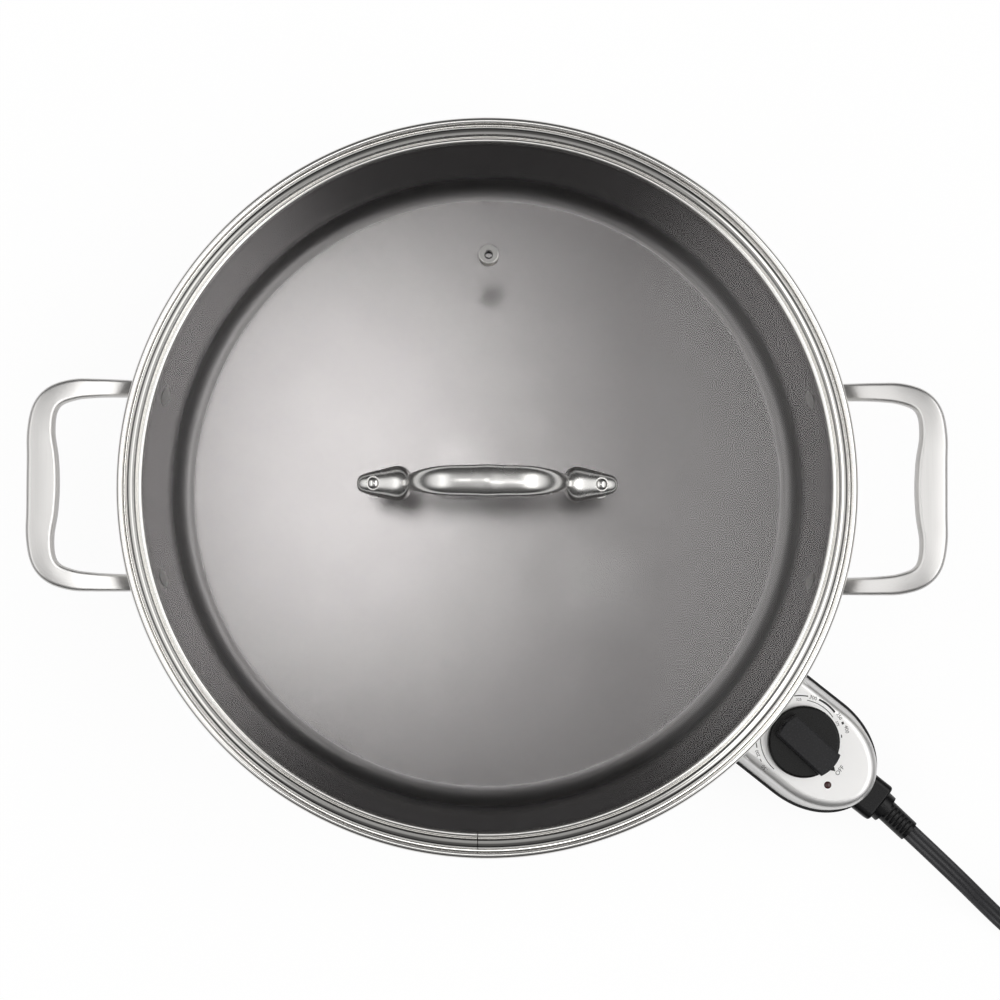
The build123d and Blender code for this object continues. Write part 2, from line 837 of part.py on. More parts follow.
def lid_washers():
    """Flat washers under the glass."""
    ring = post(washer_r, -glass_t - washer_t, -glass_t, lid_rivet_r)
    return Compound([on_dome(x, 0) * ring - glass_blank() for x in (boss_x, -boss_x)])


# Control


def case_face(inset):
    """Plan of the control's case, shrunk by inset: straight sides and an elliptical nose."""
    back = case_back_x + inset
    half = case_half_width - inset
    nose = EllipticalCenterArc((nose_start_x, 0), nose_length - inset, half, start_angle=-90, arc_size=180)
    sides = Polyline((nose_start_x, half), (back, half), (back, -half), (nose_start_x, -half))
    face = make_face((sides + nose).edges())
    return fillet(face.vertices().sort_by(Axis.X)[:2], case_corner - inset)


def case_post_places():
    for along, across in case_post_shares:
        yield Pos(case_back_x + along * case_length, across * case_half_width, 0)


def neck_block(grow):
    """Rounded neck of the base, where the cord enters."""
    face = RectangleRounded(2 * (neck_half_width + grow), 2 * (neck_half_height + grow), neck_round)
    plane = Plane((neck_start_x - grow, 0, relief_z), x_dir=(0, 1, 0), z_dir=(1, 0, 0))
    block = plane * extrude(face, neck_end_x - neck_start_x + grow)
    return fillet(block.faces().sort_by(Axis.X)[-1].edges(), neck_end_round)


def snout_block(grow, front, back):
    return slab(
        (front, -snout_half_width - grow, plug_z - snout_half_height - grow),
        (back, snout_half_width + grow, plug_z + snout_half_height + grow),
    )


def control_cover():
    """Silver upper case."""
    height = case_top_z - case_split_z
    outer = Pos(0, 0, case_split_z) * extrude(case_face(0), height, taper=cover_draft_deg)
    outer = fillet(outer.faces().sort_by(Axis.Z)[-1].edges(), cover_round)
    hollow = Pos(0, 0, case_split_z) * extrude(case_face(cover_t), height - cover_t, taper=cover_draft_deg)
    hollow = fillet(hollow.faces().sort_by(Axis.Z)[-1].edges(), cover_round - cover_t)
    post_shape = post(case_post_r, case_split_z, case_top_z - cover_t / 2, case_screw_r)
    posts = [place * post_shape for place in case_post_places()]
    bush = Pos(dial_x, 0, 0) * post(bush_r, case_top_z - overrun, case_top_z + overrun)
    lens = Pos(lamp_x, lamp_y, 0) * post(lens_r, case_top_z - overrun, case_top_z + overrun)
    snout = snout_block(0, case_back_x - overrun, snout_flange_x)
    return fused([outer - hollow] + posts) - bush - lens - snout - neck_block(seat_gap)


def control_base():
    """Black lower case: a tray with screw bosses and the cord's neck."""
    height = case_split_z - case_bottom_z
    tray = Pos(0, 0, case_bottom_z) * extrude(case_face(-base_ledge), height)
    tray = fillet(tray.faces().sort_by(Axis.Z)[0].edges(), base_t)
    tray -= Pos(0, 0, case_bottom_z + base_t) * extrude(case_face(base_t), height)
    floor_top = case_bottom_z + base_t / 2
    bosses = [place * post(case_post_r, floor_top, case_split_z) for place in case_post_places()]
    neck = neck_block(0)
    cavity = slab(
        (neck_start_x - overrun, -relief_flange_r, case_bottom_z + base_t),
        (nose_start_x + nose_length - base_t - cover_t, relief_flange_r, relief_z + relief_flange_r),
    )
    bore = Pos(0, 0, relief_z) * rod(relief_neck_r, neck_start_x - overrun, neck_end_x + overrun)
    shank = post(case_screw_r, case_bottom_z - overrun, case_split_z + overrun)
    recess_r = case_screw_head_r + case_screw_recess_gap
    recess = post(recess_r, case_bottom_z - overrun, case_bottom_z + case_screw_head_h)
    drilled = [place * shape for place in case_post_places() for shape in (shank, recess)]
    return fused([tray, neck] + bosses) - cavity - bore - drilled


def control_screws():
    seat = case_bottom_z + case_screw_head_h
    head = Pos(0, 0, seat) * Rot(180, 0, 0) * dome(case_screw_head_r, case_screw_head_h - seat_gap)
    screw = fused([head, post(case_screw_r, seat, seat + case_screw_grip)])
    return Compound([place * screw for place in case_post_places()])


def control_snout():
    """Heat-proof block that carries the contact sleeves and the probe."""
    block = snout_block(0, snout_front_x, snout_back_x)
    flange = slab(
        (snout_flange_x, -snout_flange_half_width, plug_z - snout_flange_half_height),
        (snout_flange_x + snout_flange_t, snout_flange_half_width, plug_z + snout_flange_half_height),
    )
    bores = at_terminals(rod(sleeve_r, snout_front_x - overrun, snout_back_x + overrun)).solids()
    centre = Pos(0, 0, plug_z) * rod(probe_r, snout_front_x - overrun, snout_back_x + overrun)
    return fused([block, flange]) - list(bores) - centre


def contact_sleeves():
    """Brass tubes that slide over the element's terminals."""
    front = snout_front_x + sleeve_front_set
    tube = rod(sleeve_r, front, sleeve_tail_x)
    bore = rod(terminal_r + sleeve_fit, front - overrun, terminal_end_x + sleeve_front_set)
    return at_terminals(tube - bore)


def probe_rod():
    """Closed steel tube that reaches under the middle of the pan."""
    tube = rod(probe_r, probe_tip_x, probe_tail_x)
    tip = fillet(tube.faces().sort_by(Axis.X)[0].edges(), probe_r / 2)
    return Pos(0, 0, plug_z) * tip


def ground_spring():
    """Sprung strip that earths the probe."""
    half = ground_spring_width / 2
    low = plug_z - probe_r - ground_spring_drop
    upright = slab(
        (ground_spring_x, -half, low),
        (ground_spring_x + ground_spring_t, half, plug_z + probe_r + ground_spring_t),
    )
    upright -= Pos(0, 0, plug_z) * rod(probe_r, ground_spring_x - overrun, ground_spring_x + overrun)
    foot = slab(
        (ground_spring_x, -half, low - ground_spring_t),
        (probe_tail_x, half, low),
    )
    return fused([upright, foot])


def bracket_top_z():
    return case_bottom_z + base_t + bracket_t


def thermostat_bracket():
    """Steel angle that stands in the tray and holds the probe's tail."""
    low = case_bottom_z + base_t
    plate = slab((probe_tail_x, -bracket_half_width, low), (bracket_end_x, bracket_half_width, low + bracket_t))
    upright = slab(
        (probe_tail_x, -bracket_half_width / 2, low),
        (probe_tail_x + bracket_t, bracket_half_width / 2, plug_z + 2 * probe_r),
    )
    return fused([plate, upright])


def block_ends():
    return dial_x - block_length / 2, dial_x + block_length / 2


def thermostat_block():
    """Ceramic block that spaces the two contact arms."""
    start, end = block_ends()
    low = bracket_top_z()
    block = slab((start, -block_half_width, low), (end, block_half_width, low + block_h))
    spacer = slab(
        (start, -arm_half_width, low + block_h + arm_t),
        (start + arm_post_length, arm_half_width, low + block_h + arm_rise),
    )
    return Compound([block, spacer])


def contact_arm(bottom_z, tip_low, tip_high):
    start, end = block_ends()
    tip_x = end + arm_overhang - contact_inset
    arm = slab((start, -arm_half_width, bottom_z), (end + arm_overhang, arm_half_width, bottom_z + arm_t))
    return fused([arm, Pos(tip_x, 0, 0) * post(contact_r, tip_low, tip_high)])


def fixed_contact_arm():
    low = bracket_top_z() + block_h
    middle = low + (arm_t + arm_rise) / 2
    return contact_arm(low, low + arm_t, middle - contact_gap / 2)


def moving_contact_arm():
    low = bracket_top_z() + block_h + arm_rise
    middle = low - (arm_rise - arm_t) / 2
    return contact_arm(low, middle + contact_gap / 2, low)


def push_pin_ends():
    low = bracket_top_z() + block_h + arm_rise + arm_t
    return low, low + push_pin_h


def push_pin():
    """Ceramic pin between the dial's shaft and the moving arm."""
    return Pos(dial_x, 0, 0) * post(push_pin_r, *push_pin_ends())


def bush_bottom_z():
    return case_top_z - cover_t - bush_drop


def shaft_bush():
    """Brass bush that carries the dial's shaft in the cover."""
    barrel = post(bush_r, bush_bottom_z(), case_top_z)
    under = case_top_z - cover_t
    flange = post(bush_flange_r, under - bush_flange_t, under)
    bore = post(shaft_r + shaft_fit, bush_bottom_z() - overrun, case_top_z + overrun)
    return Pos(dial_x, 0, 0) * (fused([barrel, flange]) - bore)


def indicator_lens():
    under = case_top_z - cover_t
    stem = post(lens_r, under, case_top_z)
    head = Pos(0, 0, case_top_z) * dome(lens_r, lens_rise)
    flange = post(lens_flange_r, under - lens_flange_t, under)
    return Pos(lamp_x, lamp_y, 0) * fused([stem, head, flange])


def indicator_lamp():
    top = case_top_z - cover_t - lens_flange_t
    lamp = post(lamp_r, top - lamp_length, top)
    lamp = fillet(lamp.edges().filter_by(GeomType.CIRCLE), lamp_r / 2)
    return Pos(lamp_x, lamp_y, 0) * lamp


def lead(points):
    """Insulated wire through points at one height."""
    path = FilletPolyline(*points, radius=lead_bend_r)
    first, second = Vector(*points[0]), Vector(*points[1])
    return sweep(Plane(points[0], z_dir=second - first) * Circle(lead_r), path=path)


def lead_wires():
    """Three wires from the cord to the contact sleeves and the earth spring."""
    start_x = clamp_x - seat_gap
    high_z = relief_z + relief_neck_r / 2
    wires = []
    for side in (1, -1):
        wires.append(lead([
            (start_x, side * relief_neck_r / 2, high_z),
            (nose_start_x - lead_bend_r, side * relief_neck_r, high_z),
            (dial_x - dial_r / 2, side * terminal_half_span, high_z),
            (sleeve_tail_x, side * terminal_half_span, high_z),
        ]))
    low_z = relief_z - relief_neck_r / 2
    spring_x = ground_spring_x + ground_spring_t / 2
    wires.append(lead([
        (start_x, 0, low_z),
        (nose_start_x, -terminal_half_span, low_z),
        (spring_x, -terminal_half_span, low_z),
        (spring_x, -ground_spring_width / 2, low_z),
    ]))
    return Compound(wires)


# Dial


def knob_bottom_z():
    return case_top_z + dial_gap


def dial_knob():
    """Round knob with a bar across it and a pointing tab, whose OFF mark lies outward."""
    low = knob_bottom_z()
    skirt = post(dial_r, low, low + dial_skirt_h)
    skirt = fillet(skirt.faces().sort_by(Axis.Z)[-1].edges(), dial_round)
    heel = Circle(dial_bar_heel_r) & Rectangle(2 * dial_r, dial_bar_width)
    tip = Circle(dial_bar_tip_r) & Pos(dial_r, 0) * Rectangle(2 * dial_r, dial_bar_width)
    bar = Pos(0, 0, low) * extrude(heel + tip, dial_skirt_h + dial_bar_h)
    bar = chamfer(bar.faces().sort_by(Axis.Z)[-1].edges(), dial_bar_bevel)
    tab_points = [
        (dial_r - dial_tab_reach, 2 * dial_tab_half_width),
        (dial_r - dial_tab_reach, -2 * dial_tab_half_width),
        (dial_r + dial_tab_reach, 0),
    ]
    tab = Pos(0, 0, low) * extrude(outline(tab_points), dial_tab_t)
    bore = post(shaft_r, low - overrun, low + shaft_in_knob)
    return Pos(dial_x, 0, 0) * Rot(0, 0, dial_rest_deg) * (fused([skirt, bar, tab]) - bore)


def dial_shaft():
    low = push_pin_ends()[1] + seat_gap
    shaft = post(shaft_r, low, knob_bottom_z() + shaft_in_knob)
    clip_top = bush_bottom_z() - seat_gap
    groove = post(2 * shaft_r, clip_top - clip_t, clip_top, shaft_r - clip_groove)
    return Pos(dial_x, 0, 0) * (shaft - groove)


def dial_clip():
    """Spring clip that keeps the shaft in its bush."""
    top = bush_bottom_z() - seat_gap
    ring = post(clip_r, top - clip_t, top, shaft_r - clip_groove)
    slot = slab((0, -shaft_r / 2, top - overrun), (clip_r + overrun, shaft_r / 2, top + overrun))
    return Pos(dial_x, 0, 0) * (ring - slot)


# Cord


def cord_frame():
    """Place at the neck's mouth with X along the cord."""
    return Pos(neck_end_x, 0, relief_z) * Rot(0, 0, relief_lean_deg)


def strain_relief():
    """Moulded relief: an inner part in the neck, a flange and a sleeve slotted above and below."""
    inner = Pos(0, 0, relief_z) * rod(relief_neck_r, clamp_x, neck_end_x)
    flange = rod(relief_flange_r, 0, relief_flange_t)
    cone = revolve(
        make_face(Polyline(
            (0, 0), (relief_length, 0), (relief_length, relief_tip_r), (0, relief_root_r), close=True
        )),
        Axis.X,
    )
    span = relief_length - relief_flange_t - 2 * relief_rib_margin - relief_rib_gap
    for index in range(relief_rib_count):
        start = relief_flange_t + relief_rib_margin + span * index / (relief_rib_count - 1)
        slot = slab(
            (start, -relief_flange_r, relief_tip_r - relief_rib_depth),
            (start + relief_rib_gap, relief_flange_r, relief_flange_r),
        )
        cone -= [slot, Rot(180, 0, 0) * slot]
    outer = cord_frame() * fused([flange, cone])
    mouth = slab(
        (neck_end_x - overrun, -relief_flange_r * 2, relief_z - relief_flange_r * 2),
        (neck_end_x, relief_flange_r * 2, relief_z + relief_flange_r * 2),
    )
    return fused([inner, outer - mouth])


def cord_clamp():
    """Saddle over the relief's inner end, on two feet in the tray."""
    end = clamp_x + clamp_length
    low = case_bottom_z + base_t
    half = relief_neck_r + clamp_t
    saddle = slab((clamp_x, -half, low), (end, half, relief_z + half))
    return saddle - Pos(0, 0, relief_z) * rod(relief_neck_r, clamp_x - overrun, end + overrun)


def exit_point():
    """Mouth of the strain relief in the part's frame, and the cord's heading in degrees."""
    mouth = Pos(relief_length, 0, 0)
    place = Rot(0, 0, control_azimuth_deg) * cord_frame() * mouth
    return place.position, control_azimuth_deg + relief_lean_deg


def route_points(route):
    """Cord route in the part's frame, from distances along the heading and heights."""
    start, heading = exit_point()
    h = math.radians(heading)
    return [Vector(start.X + d * math.cos(h), start.Y + d * math.sin(h), z) for d, z in route]


def corner_radii(points):
    """Largest arc radius that each corner's two runs allow."""
    radii = []
    for before, here, after in zip(points, points[1:], points[2:]):
        turn = math.radians((here - before).get_angle(after - here))
        shorter = min((here - before).length, (after - here).length)
        radii.append(0.45 * shorter / math.tan(turn / 2))
    return radii


def free_tube(name, points):
    """Round cord along straight runs and arcs; prints its bends and checks its volume."""
    radii = corner_radii(points)
    path = FilletPolyline(*points, radius=radii)
    tube = sweep(Plane(points[0], z_dir=points[1] - points[0]) * Circle(cord_r), path=path)
    report_tube(name, tube, path)
    print(name, "bend radii in diameters", [round(r / (2 * cord_r), 1) for r in radii])
    return tube


def report_tube(name, tube, path):
    length = sum(edge.length for edge in path.edges())
    share = tube.volume / (math.pi * cord_r**2 * length)
    print(name, "length", round(length, 1), "volume over section times length", round(share, 4))


def unit(degrees):
    a = math.radians(degrees)
    return Vector(math.cos(a), math.sin(a), 0)


def coil_layout():
    """Centre of the coil and the angle at which the cord joins it."""
    heading = exit_point()[1]
    join = route_points(cord_route)[-1] + unit(heading) * (2 * cord_r)
    return join + unit(heading + 90) * coil_r, heading - 90


def biarc(start, start_way, end, end_way):
    """Two arcs from one point and heading to another."""
    chord = end - start
    lean = 2 * (1 - start_way.dot(end_way))
    side = chord.dot(start_way + end_way)
    reach = (math.sqrt(side**2 + lean * chord.dot(chord)) - side) / lean
    first = start + start_way * reach
    last = end - end_way * reach
    joint = (first + last) * 0.5
    return [arc_from(start, start_way, joint), arc_from(joint, (last - first).normalized(), end)]


def arc_from(start, way, end):
    """Arc from a point, leaving along way, to an end."""
    chord = end - start
    along = chord.normalized()
    half = math.radians(along.get_angle(way)) / 2
    bulge = (way - along * way.dot(along)).normalized()
    middle = (start + end) * 0.5 + bulge * (chord.length / 2 * math.tan(half))
    return ThreePointArc(start, middle, end)


def coil_path():
    """Centreline of the coil: in on the lower layer, a climb, and out on the upper layer."""
    centre, angle = coil_layout()
    axis = unit(angle)
    half_pitch = coil_pitch / 2
    low = centre
    high = centre + Vector(0, 0, coil_pitch)
    start_way = unit(angle + 90)
    begin = centre + axis * coil_r
    edges = [Line(begin - start_way * (2 * cord_r), begin)]
    edges += half_turn(low, angle, coil_r)
    edges += half_turn(low - axis * half_pitch, angle + 180, coil_r - half_pitch)
    edges += climbing_turn(low, angle, coil_r - coil_pitch)
    edges += half_turn(high + axis * half_pitch, angle + 180, coil_r - half_pitch)
    edges += half_turn(high, angle, coil_r)
    finish = high - axis * coil_r
    edges.append(Line(finish, finish - start_way * (2 * cord_r)))
    return edges


def half_turn(centre, angle, radius):
    """Half a turn anticlockwise, as two quarter arcs."""
    points = [centre + unit(angle + quarter * 45) * radius for quarter in range(5)]
    return [ThreePointArc(*points[0:3]), ThreePointArc(*points[2:5])]


def climbing_turn(centre, angle, radius):
    """Half a turn that climbs one layer, as four arcs."""
    rise = Vector(0, 0, coil_pitch)
    slope = 2 * coil_pitch / (math.pi * radius)
    ends = [
        (centre + unit(angle) * radius, unit(angle + 90)),
        (centre + unit(angle + 90) * radius + rise * 0.5, (unit(angle + 180) + Vector(0, 0, slope)).normalized()),
        (centre + unit(angle + 180) * radius + rise, unit(angle + 270)),
    ]
    return [arc for (p, v), (q, w) in zip(ends, ends[1:]) for arc in biarc(p, v, q, w)]


def cord_run():
    return free_tube("cord_run", route_points(cord_route))


def cord_coil():
    """The put-away length as one tube with its loops."""
    edges = coil_path()
    path = Wire(edges)
    begin = edges[0] @ 0
    tube = sweep(Plane(begin, z_dir=(edges[0] @ 1) - begin) * Circle(cord_r), path=path)
    report_tube("cord_coil", tube, path)
    print("cord_coil least gap to itself", round(self_gap(edges), 2))
    return tube


def self_gap(edges):
    """Least space between two turns, on points along the centreline."""
    step = cord_r / 2
    points, places, along = [], [], 0
    for edge in edges:
        count = max(2, math.ceil(edge.length / step))
        for index in range(count):
            points.append(edge @ (index / count))
            places.append(along + edge.length * index / count)
        along += edge.length
    apart = math.pi * coil_r
    least = min(
        (p - q).length
        for i, p in enumerate(points)
        for j, q in enumerate(points[:i])
        if places[i] - places[j] > apart
    )
    return least - 2 * cord_r


def coil_end():
    """Where the coil's tube ends, and its heading in degrees."""
    centre, angle = coil_layout()
    heading = angle + 270
    finish = centre + Vector(0, 0, coil_pitch) - unit(angle) * coil_r
    return finish + unit(heading) * (2 * cord_r), heading


def tail_points():
    start, heading = coil_end()
    forward, right = unit(heading), unit(heading - 90)
    drop = Vector(0, 0, start.Z - plug_height / 2)
    places = zip(tail_route, tail_drop_shares)
    return [start + forward * a + right * b - drop * share for (a, b), share in places]


def cord_tail():
    return free_tube("cord_tail", tail_points())


def coil_tie():
    """Strap round the two stacked turns."""
    centre, angle = coil_layout()
    across = coil_r - coil_pitch / 2
    middle = centre + unit(angle + 270) * across + Vector(0, 0, coil_pitch / 2)
    plane = Plane(middle, x_dir=unit(angle + 270), z_dir=unit(angle))
    width = 2 * (cord_r + tie_side_gap)
    height = coil_pitch + 2 * (cord_r + tie_gap)
    ring = RectangleRounded(width + 2 * tie_t, height + 2 * tie_t, tie_round + tie_t)
    ring -= RectangleRounded(width, height, tie_round)
    return plane * extrude(ring, tie_width / 2, both=True)


# Plug


def plug_plane():
    """Plane at the back of the plug's boot, with z along the plug and y up."""
    points = tail_points()
    way = points[-1] - points[-2]
    flat = Vector(way.X, way.Y, 0).normalized()
    return Plane(points[-1], x_dir=Vector(flat.Y, -flat.X, 0), z_dir=flat)


def plug_body():
    boot = loft([Circle(cord_r), Pos(0, 0, plug_boot_length) * Circle(plug_boot_r)])
    body = Pos(0, 0, plug_boot_length) * extrude(RectangleRounded(plug_width, plug_height, plug_round), plug_length)
    body = fillet(body.faces().sort_by(Axis.Z)[0].edges(), plug_round - seat_gap)
    return plug_plane() * fused([boot, body])


def plug_blades():
    low = plug_boot_length + plug_length
    blade = slab(
        (-blade_t / 2, blade_rise - blade_height / 2, low),
        (blade_t / 2, blade_rise + blade_height / 2, low + blade_length),
    )
    return Compound([plug_plane() * Pos(side * blade_span / 2, 0, 0) * blade for side in (1, -1)])


def ground_pin():
    low = plug_boot_length + plug_length
    pin = post(pin_r, low, low + pin_length)
    pin = fillet(pin.faces().sort_by(Axis.Z)[-1].edges(), pin_r / 2)
    return plug_plane() * Pos(0, blade_rise - pin_spacing, 0) * pin


# What is written

as_drawn = [
    pan_shell, pan_liner, handle_rivets,
    lid_glass, lid_rim_band, vent_grommet, lid_handle, lid_handle_gaskets, lid_handle_rivets, lid_washers,
    cord_run, cord_coil, cord_tail, coil_tie, plug_body, plug_blades, ground_pin,
]
along_control = [
    sole_plate, heating_element, element_terminals, terminal_beads, socket_shroud,
    base_skirt, base_cover, feet, base_screws,
    control_cover, control_base, control_screws, control_snout, contact_sleeves, probe_rod, ground_spring,
    thermostat_bracket, thermostat_block, fixed_contact_arm, moving_contact_arm, push_pin, shaft_bush,
    indicator_lens, indicator_lamp, lead_wires, cord_clamp, strain_relief,
    dial_knob, dial_shaft, dial_clip,
]

os.makedirs("parts", exist_ok=True)
for make in as_drawn:
    export_step(make(), f"parts/{make.__name__}.step")
for make in along_control:
    export_step(turned_to_control(make()), f"parts/{make.__name__}.step")
handle = side_handle()
export_step(handle, "parts/side_handle_right.step")
export_step(Rot(0, 0, 180) * handle, "parts/side_handle_left.step")
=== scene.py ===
import json
import math

import bmesh
import bpy
from mathutils import Matrix, Vector
from mathutils.bvhtree import BVHTree


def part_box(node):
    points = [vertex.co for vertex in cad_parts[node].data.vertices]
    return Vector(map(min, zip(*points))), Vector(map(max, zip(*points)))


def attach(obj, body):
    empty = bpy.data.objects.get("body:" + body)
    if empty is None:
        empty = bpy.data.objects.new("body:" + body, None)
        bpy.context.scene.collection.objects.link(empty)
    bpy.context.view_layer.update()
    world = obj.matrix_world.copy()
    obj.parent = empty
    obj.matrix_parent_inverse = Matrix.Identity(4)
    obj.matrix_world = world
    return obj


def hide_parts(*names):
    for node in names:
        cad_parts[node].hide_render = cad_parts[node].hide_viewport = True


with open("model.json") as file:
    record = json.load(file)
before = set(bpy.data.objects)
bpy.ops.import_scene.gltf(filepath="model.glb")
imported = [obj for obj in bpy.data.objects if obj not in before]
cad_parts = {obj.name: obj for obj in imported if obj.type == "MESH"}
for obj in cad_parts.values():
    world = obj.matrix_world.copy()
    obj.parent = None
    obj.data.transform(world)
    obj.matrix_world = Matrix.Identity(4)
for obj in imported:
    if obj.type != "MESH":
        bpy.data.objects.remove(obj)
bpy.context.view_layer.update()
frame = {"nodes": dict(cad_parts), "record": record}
nodes = frame["nodes"]
scene = bpy.context.scene
scene.view_settings.view_transform = "Standard"
MM = 0.001


# Camera, straight above the pan and a little in front of it

cam_at = Vector((-0.35, -50.05, 1318.0)) * MM
cam_to = Vector((5.85, -6.45, 118.0)) * MM
cam_roll = math.radians(0.28)
cam_data = bpy.data.cameras.new("camera")
cam_data.lens = 93.2
cam_data.sensor_width = 36.0
cam_data.clip_start = 0.01
cam_data.clip_end = 20.0
camera = bpy.data.objects.new("camera", cam_data)
scene.collection.objects.link(camera)
back = (cam_at - cam_to).normalized()
right = Vector((0, 1, 0)).cross(back).normalized()
turn = Matrix((right, back.cross(right), back)).transposed().to_4x4()
camera.matrix_world = Matrix.Translation(cam_at) @ turn @ Matrix.Rotation(cam_roll, 4, "Z")
scene.camera = camera


# Materials


class Graph:
    """A node tree with short ways to fill it."""

    def __init__(self, tree):
        self.nodes = tree.nodes
        self.links = tree.links

    def node(self, kind, **settings):
        n = self.nodes.new(kind)
        for key, value in settings.items():
            setattr(n, key, value)
        return n

    def feed(self, sockets, *values):
        """Gives each socket a number or another node's output."""
        for socket, value in zip(sockets, values):
            if isinstance(value, (int, float)):
                socket.default_value = value
            else:
                self.links.new(value, socket)

    def made(self, kind, *values, **settings):
        """First output of a new node that is fed these values."""
        n = self.node(kind, **settings)
        self.feed(n.inputs, *values)
        return n.outputs[0]

    def math(self, operation, *values):
        return self.made("ShaderNodeMath", *values, operation=operation)

    def chain(self, operation, first, *rest):
        for value in rest:
            first = self.math(operation, first, value)
        return first

    def total(self, *values):
        return self.chain("ADD", *values)

    def product(self, *values):
        return self.chain("MULTIPLY", *values)

    def hypotenuse(self, a, b):
        return self.math("SQRT", self.total(self.product(a, a), self.product(b, b)))

    def ranged(self, value, start, end, low=0.0, high=1.0, **settings):
        """Value carried from the range start to end into the range low to high, and held there."""
        n = self.node("ShaderNodeMapRange", **settings)
        names = ("Value", "From Min", "From Max", "To Min", "To Max")
        self.feed([n.inputs[name] for name in names], value, start, end, low, high)
        return n.outputs["Result"]

    def axes(self, vector):
        n = self.node("ShaderNodeSeparateXYZ")
        self.feed(n.inputs, vector)
        return tuple(n.outputs)


class Shade(Graph):
    """A material with one Principled shader."""

    # Most of a noise lies between these values
    NOISE_LOW, NOISE_HIGH = 0.3, 0.7

    def __init__(self, name, base, rough, metal=0.0, **sockets):
        self.mat = bpy.data.materials.new(name)
        self.mat.use_nodes = True
        super().__init__(self.mat.node_tree)
        self.bsdf = self.nodes["Principled BSDF"]
        self.base = base
        self.rough = rough
        self.bsdf.inputs["Base Color"].default_value = (*base, 1)
        self.bsdf.inputs["Roughness"].default_value = rough
        self.bsdf.inputs["Metallic"].default_value = metal
        for key, value in sockets.items():
            self.bsdf.inputs[key.replace("_", " ")].default_value = value
        self.place = self.node("ShaderNodeTexCoord").outputs["Object"]

    def polar(self, centre=(0.0, 0.0)):
        """Angle, radius and height about an upright axis."""
        x, y, z = self.axes(self.place)
        x, y = self.math("SUBTRACT", x, centre[0]), self.math("SUBTRACT", y, centre[1])
        return self.math("ARCTAN2", y, x), self.hypotenuse(x, y), z

    def spun(self, around=6.0, across=2500.0):
        """Coordinates that draw a noise out into fine rings about the pan's axis."""
        angle, radius, height = self.polar()
        scaled = self.product(angle, around), self.product(radius, across), self.product(height, across)
        return self.made("ShaderNodeCombineXYZ", *scaled)

    def noise(self, scale, vector=None, detail=4.0):
        n = self.node("ShaderNodeTexNoise")
        self.links.new(vector or self.place, n.inputs["Vector"])
        n.inputs["Scale"].default_value = scale
        n.inputs["Detail"].default_value = detail
        n.inputs["Roughness"].default_value = 0.55
        return n.outputs["Fac"]

    def colours(self, value, low, high, start, end):
        """Colour that goes from low to high while a value goes from start to end."""
        n = self.node("ShaderNodeMix", data_type="RGBA")
        self.links.new(self.ranged(value, start, end), n.inputs["Factor"])
        n.inputs["A"].default_value = (*low, 1)
        n.inputs["B"].default_value = (*high, 1)
        self.links.new(n.outputs["Result"], self.bsdf.inputs["Base Color"])

    def vary(self, noise, spread):
        """Colour a little darker and lighter with a noise."""
        low = [c * (1 - spread) for c in self.base]
        high = [min(1, c * (1 + spread)) for c in self.base]
        self.colours(noise, low, high, self.NOISE_LOW, self.NOISE_HIGH)

    def roughen(self, noise, spread):
        low, high = max(0.01, self.rough - spread), min(1, self.rough + spread)
        self.links.new(
            self.ranged(noise, self.NOISE_LOW, self.NOISE_HIGH, low, high), self.bsdf.inputs["Roughness"]
        )

    def bump(self, value, height):
        """Raises the surface by a height in millimetres where value is 1."""
        n = self.node("ShaderNodeBump")
        n.inputs["Strength"].default_value = 1.0
        n.inputs["Distance"].default_value = height * MM
        self.links.new(value, n.inputs["Height"])
        self.links.new(n.outputs[0], self.bsdf.inputs["Normal"])


def grained(name, base, rough, metal=0.0, tint=None, gloss=None, relief=None, **sockets):
    """Material with noise in its colour, its roughness and its height, each a scale, a detail and an amount."""
    s = Shade(name, base, rough, metal, **sockets)
    for effect, noise in ((s.vary, tint), (s.roughen, gloss), (s.bump, relief)):
        if noise:
            scale, detail, amount = noise
            effect(s.noise(scale, detail=detail), amount)
    return s.mat


def moulded(name, base, rough, grain=2200.0, height=0.012, shine=0.5):
    return grained(
        name, base, rough, tint=(60.0, 4, 0.12), gloss=(grain, 3, 0.06), relief=(grain, 3, height),
        Specular_IOR_Level=shine,
    )


def metal(name, base, rough, grain=400.0):
    return grained(
        name, base, rough, 1.0, tint=(grain, 5, 0.10), gloss=(grain, 5, 0.07), relief=(grain * 4, 4, 0.006)
    )


def lens_red(name):
    return grained(name, (0.085, 0.035, 0.035), 0.12, tint=(900.0, 4, 0.25), Coat_Weight=0.4)


def polished_steel(name):
    s = Shade(name, (0.88, 0.87, 0.855), 0.08, 1.0)
    rings = s.spun()
    s.roughen(s.noise(1.0, rings, 6), 0.04)
    s.vary(s.noise(35.0), 0.03)
    s.bump(s.noise(1.0, rings, 3), 0.0015)
    return s.mat


def band_steel(name):
    """Polished steel with the weld seam of a rolled band."""
    bright, dark = (0.80, 0.79, 0.77), (0.20, 0.19, 0.18)
    seam_x, seam_half = -3.7 * MM, 0.22 * MM
    s = Shade(name, bright, 0.09, 1.0)
    rings = s.spun()
    s.roughen(s.noise(1.0, rings, 6), 0.05)
    x, y, _ = s.axes(s.place)
    off = s.math("ABSOLUTE", s.math("SUBTRACT", x, seam_x))
    seam = s.product(s.math("LESS_THAN", y, 0.0), s.math("LESS_THAN", off, seam_half))
    s.colours(seam, bright, dark, 0.0, 1.0)
    s.bump(s.noise(1.0, rings, 3), 0.001)
    return s.mat


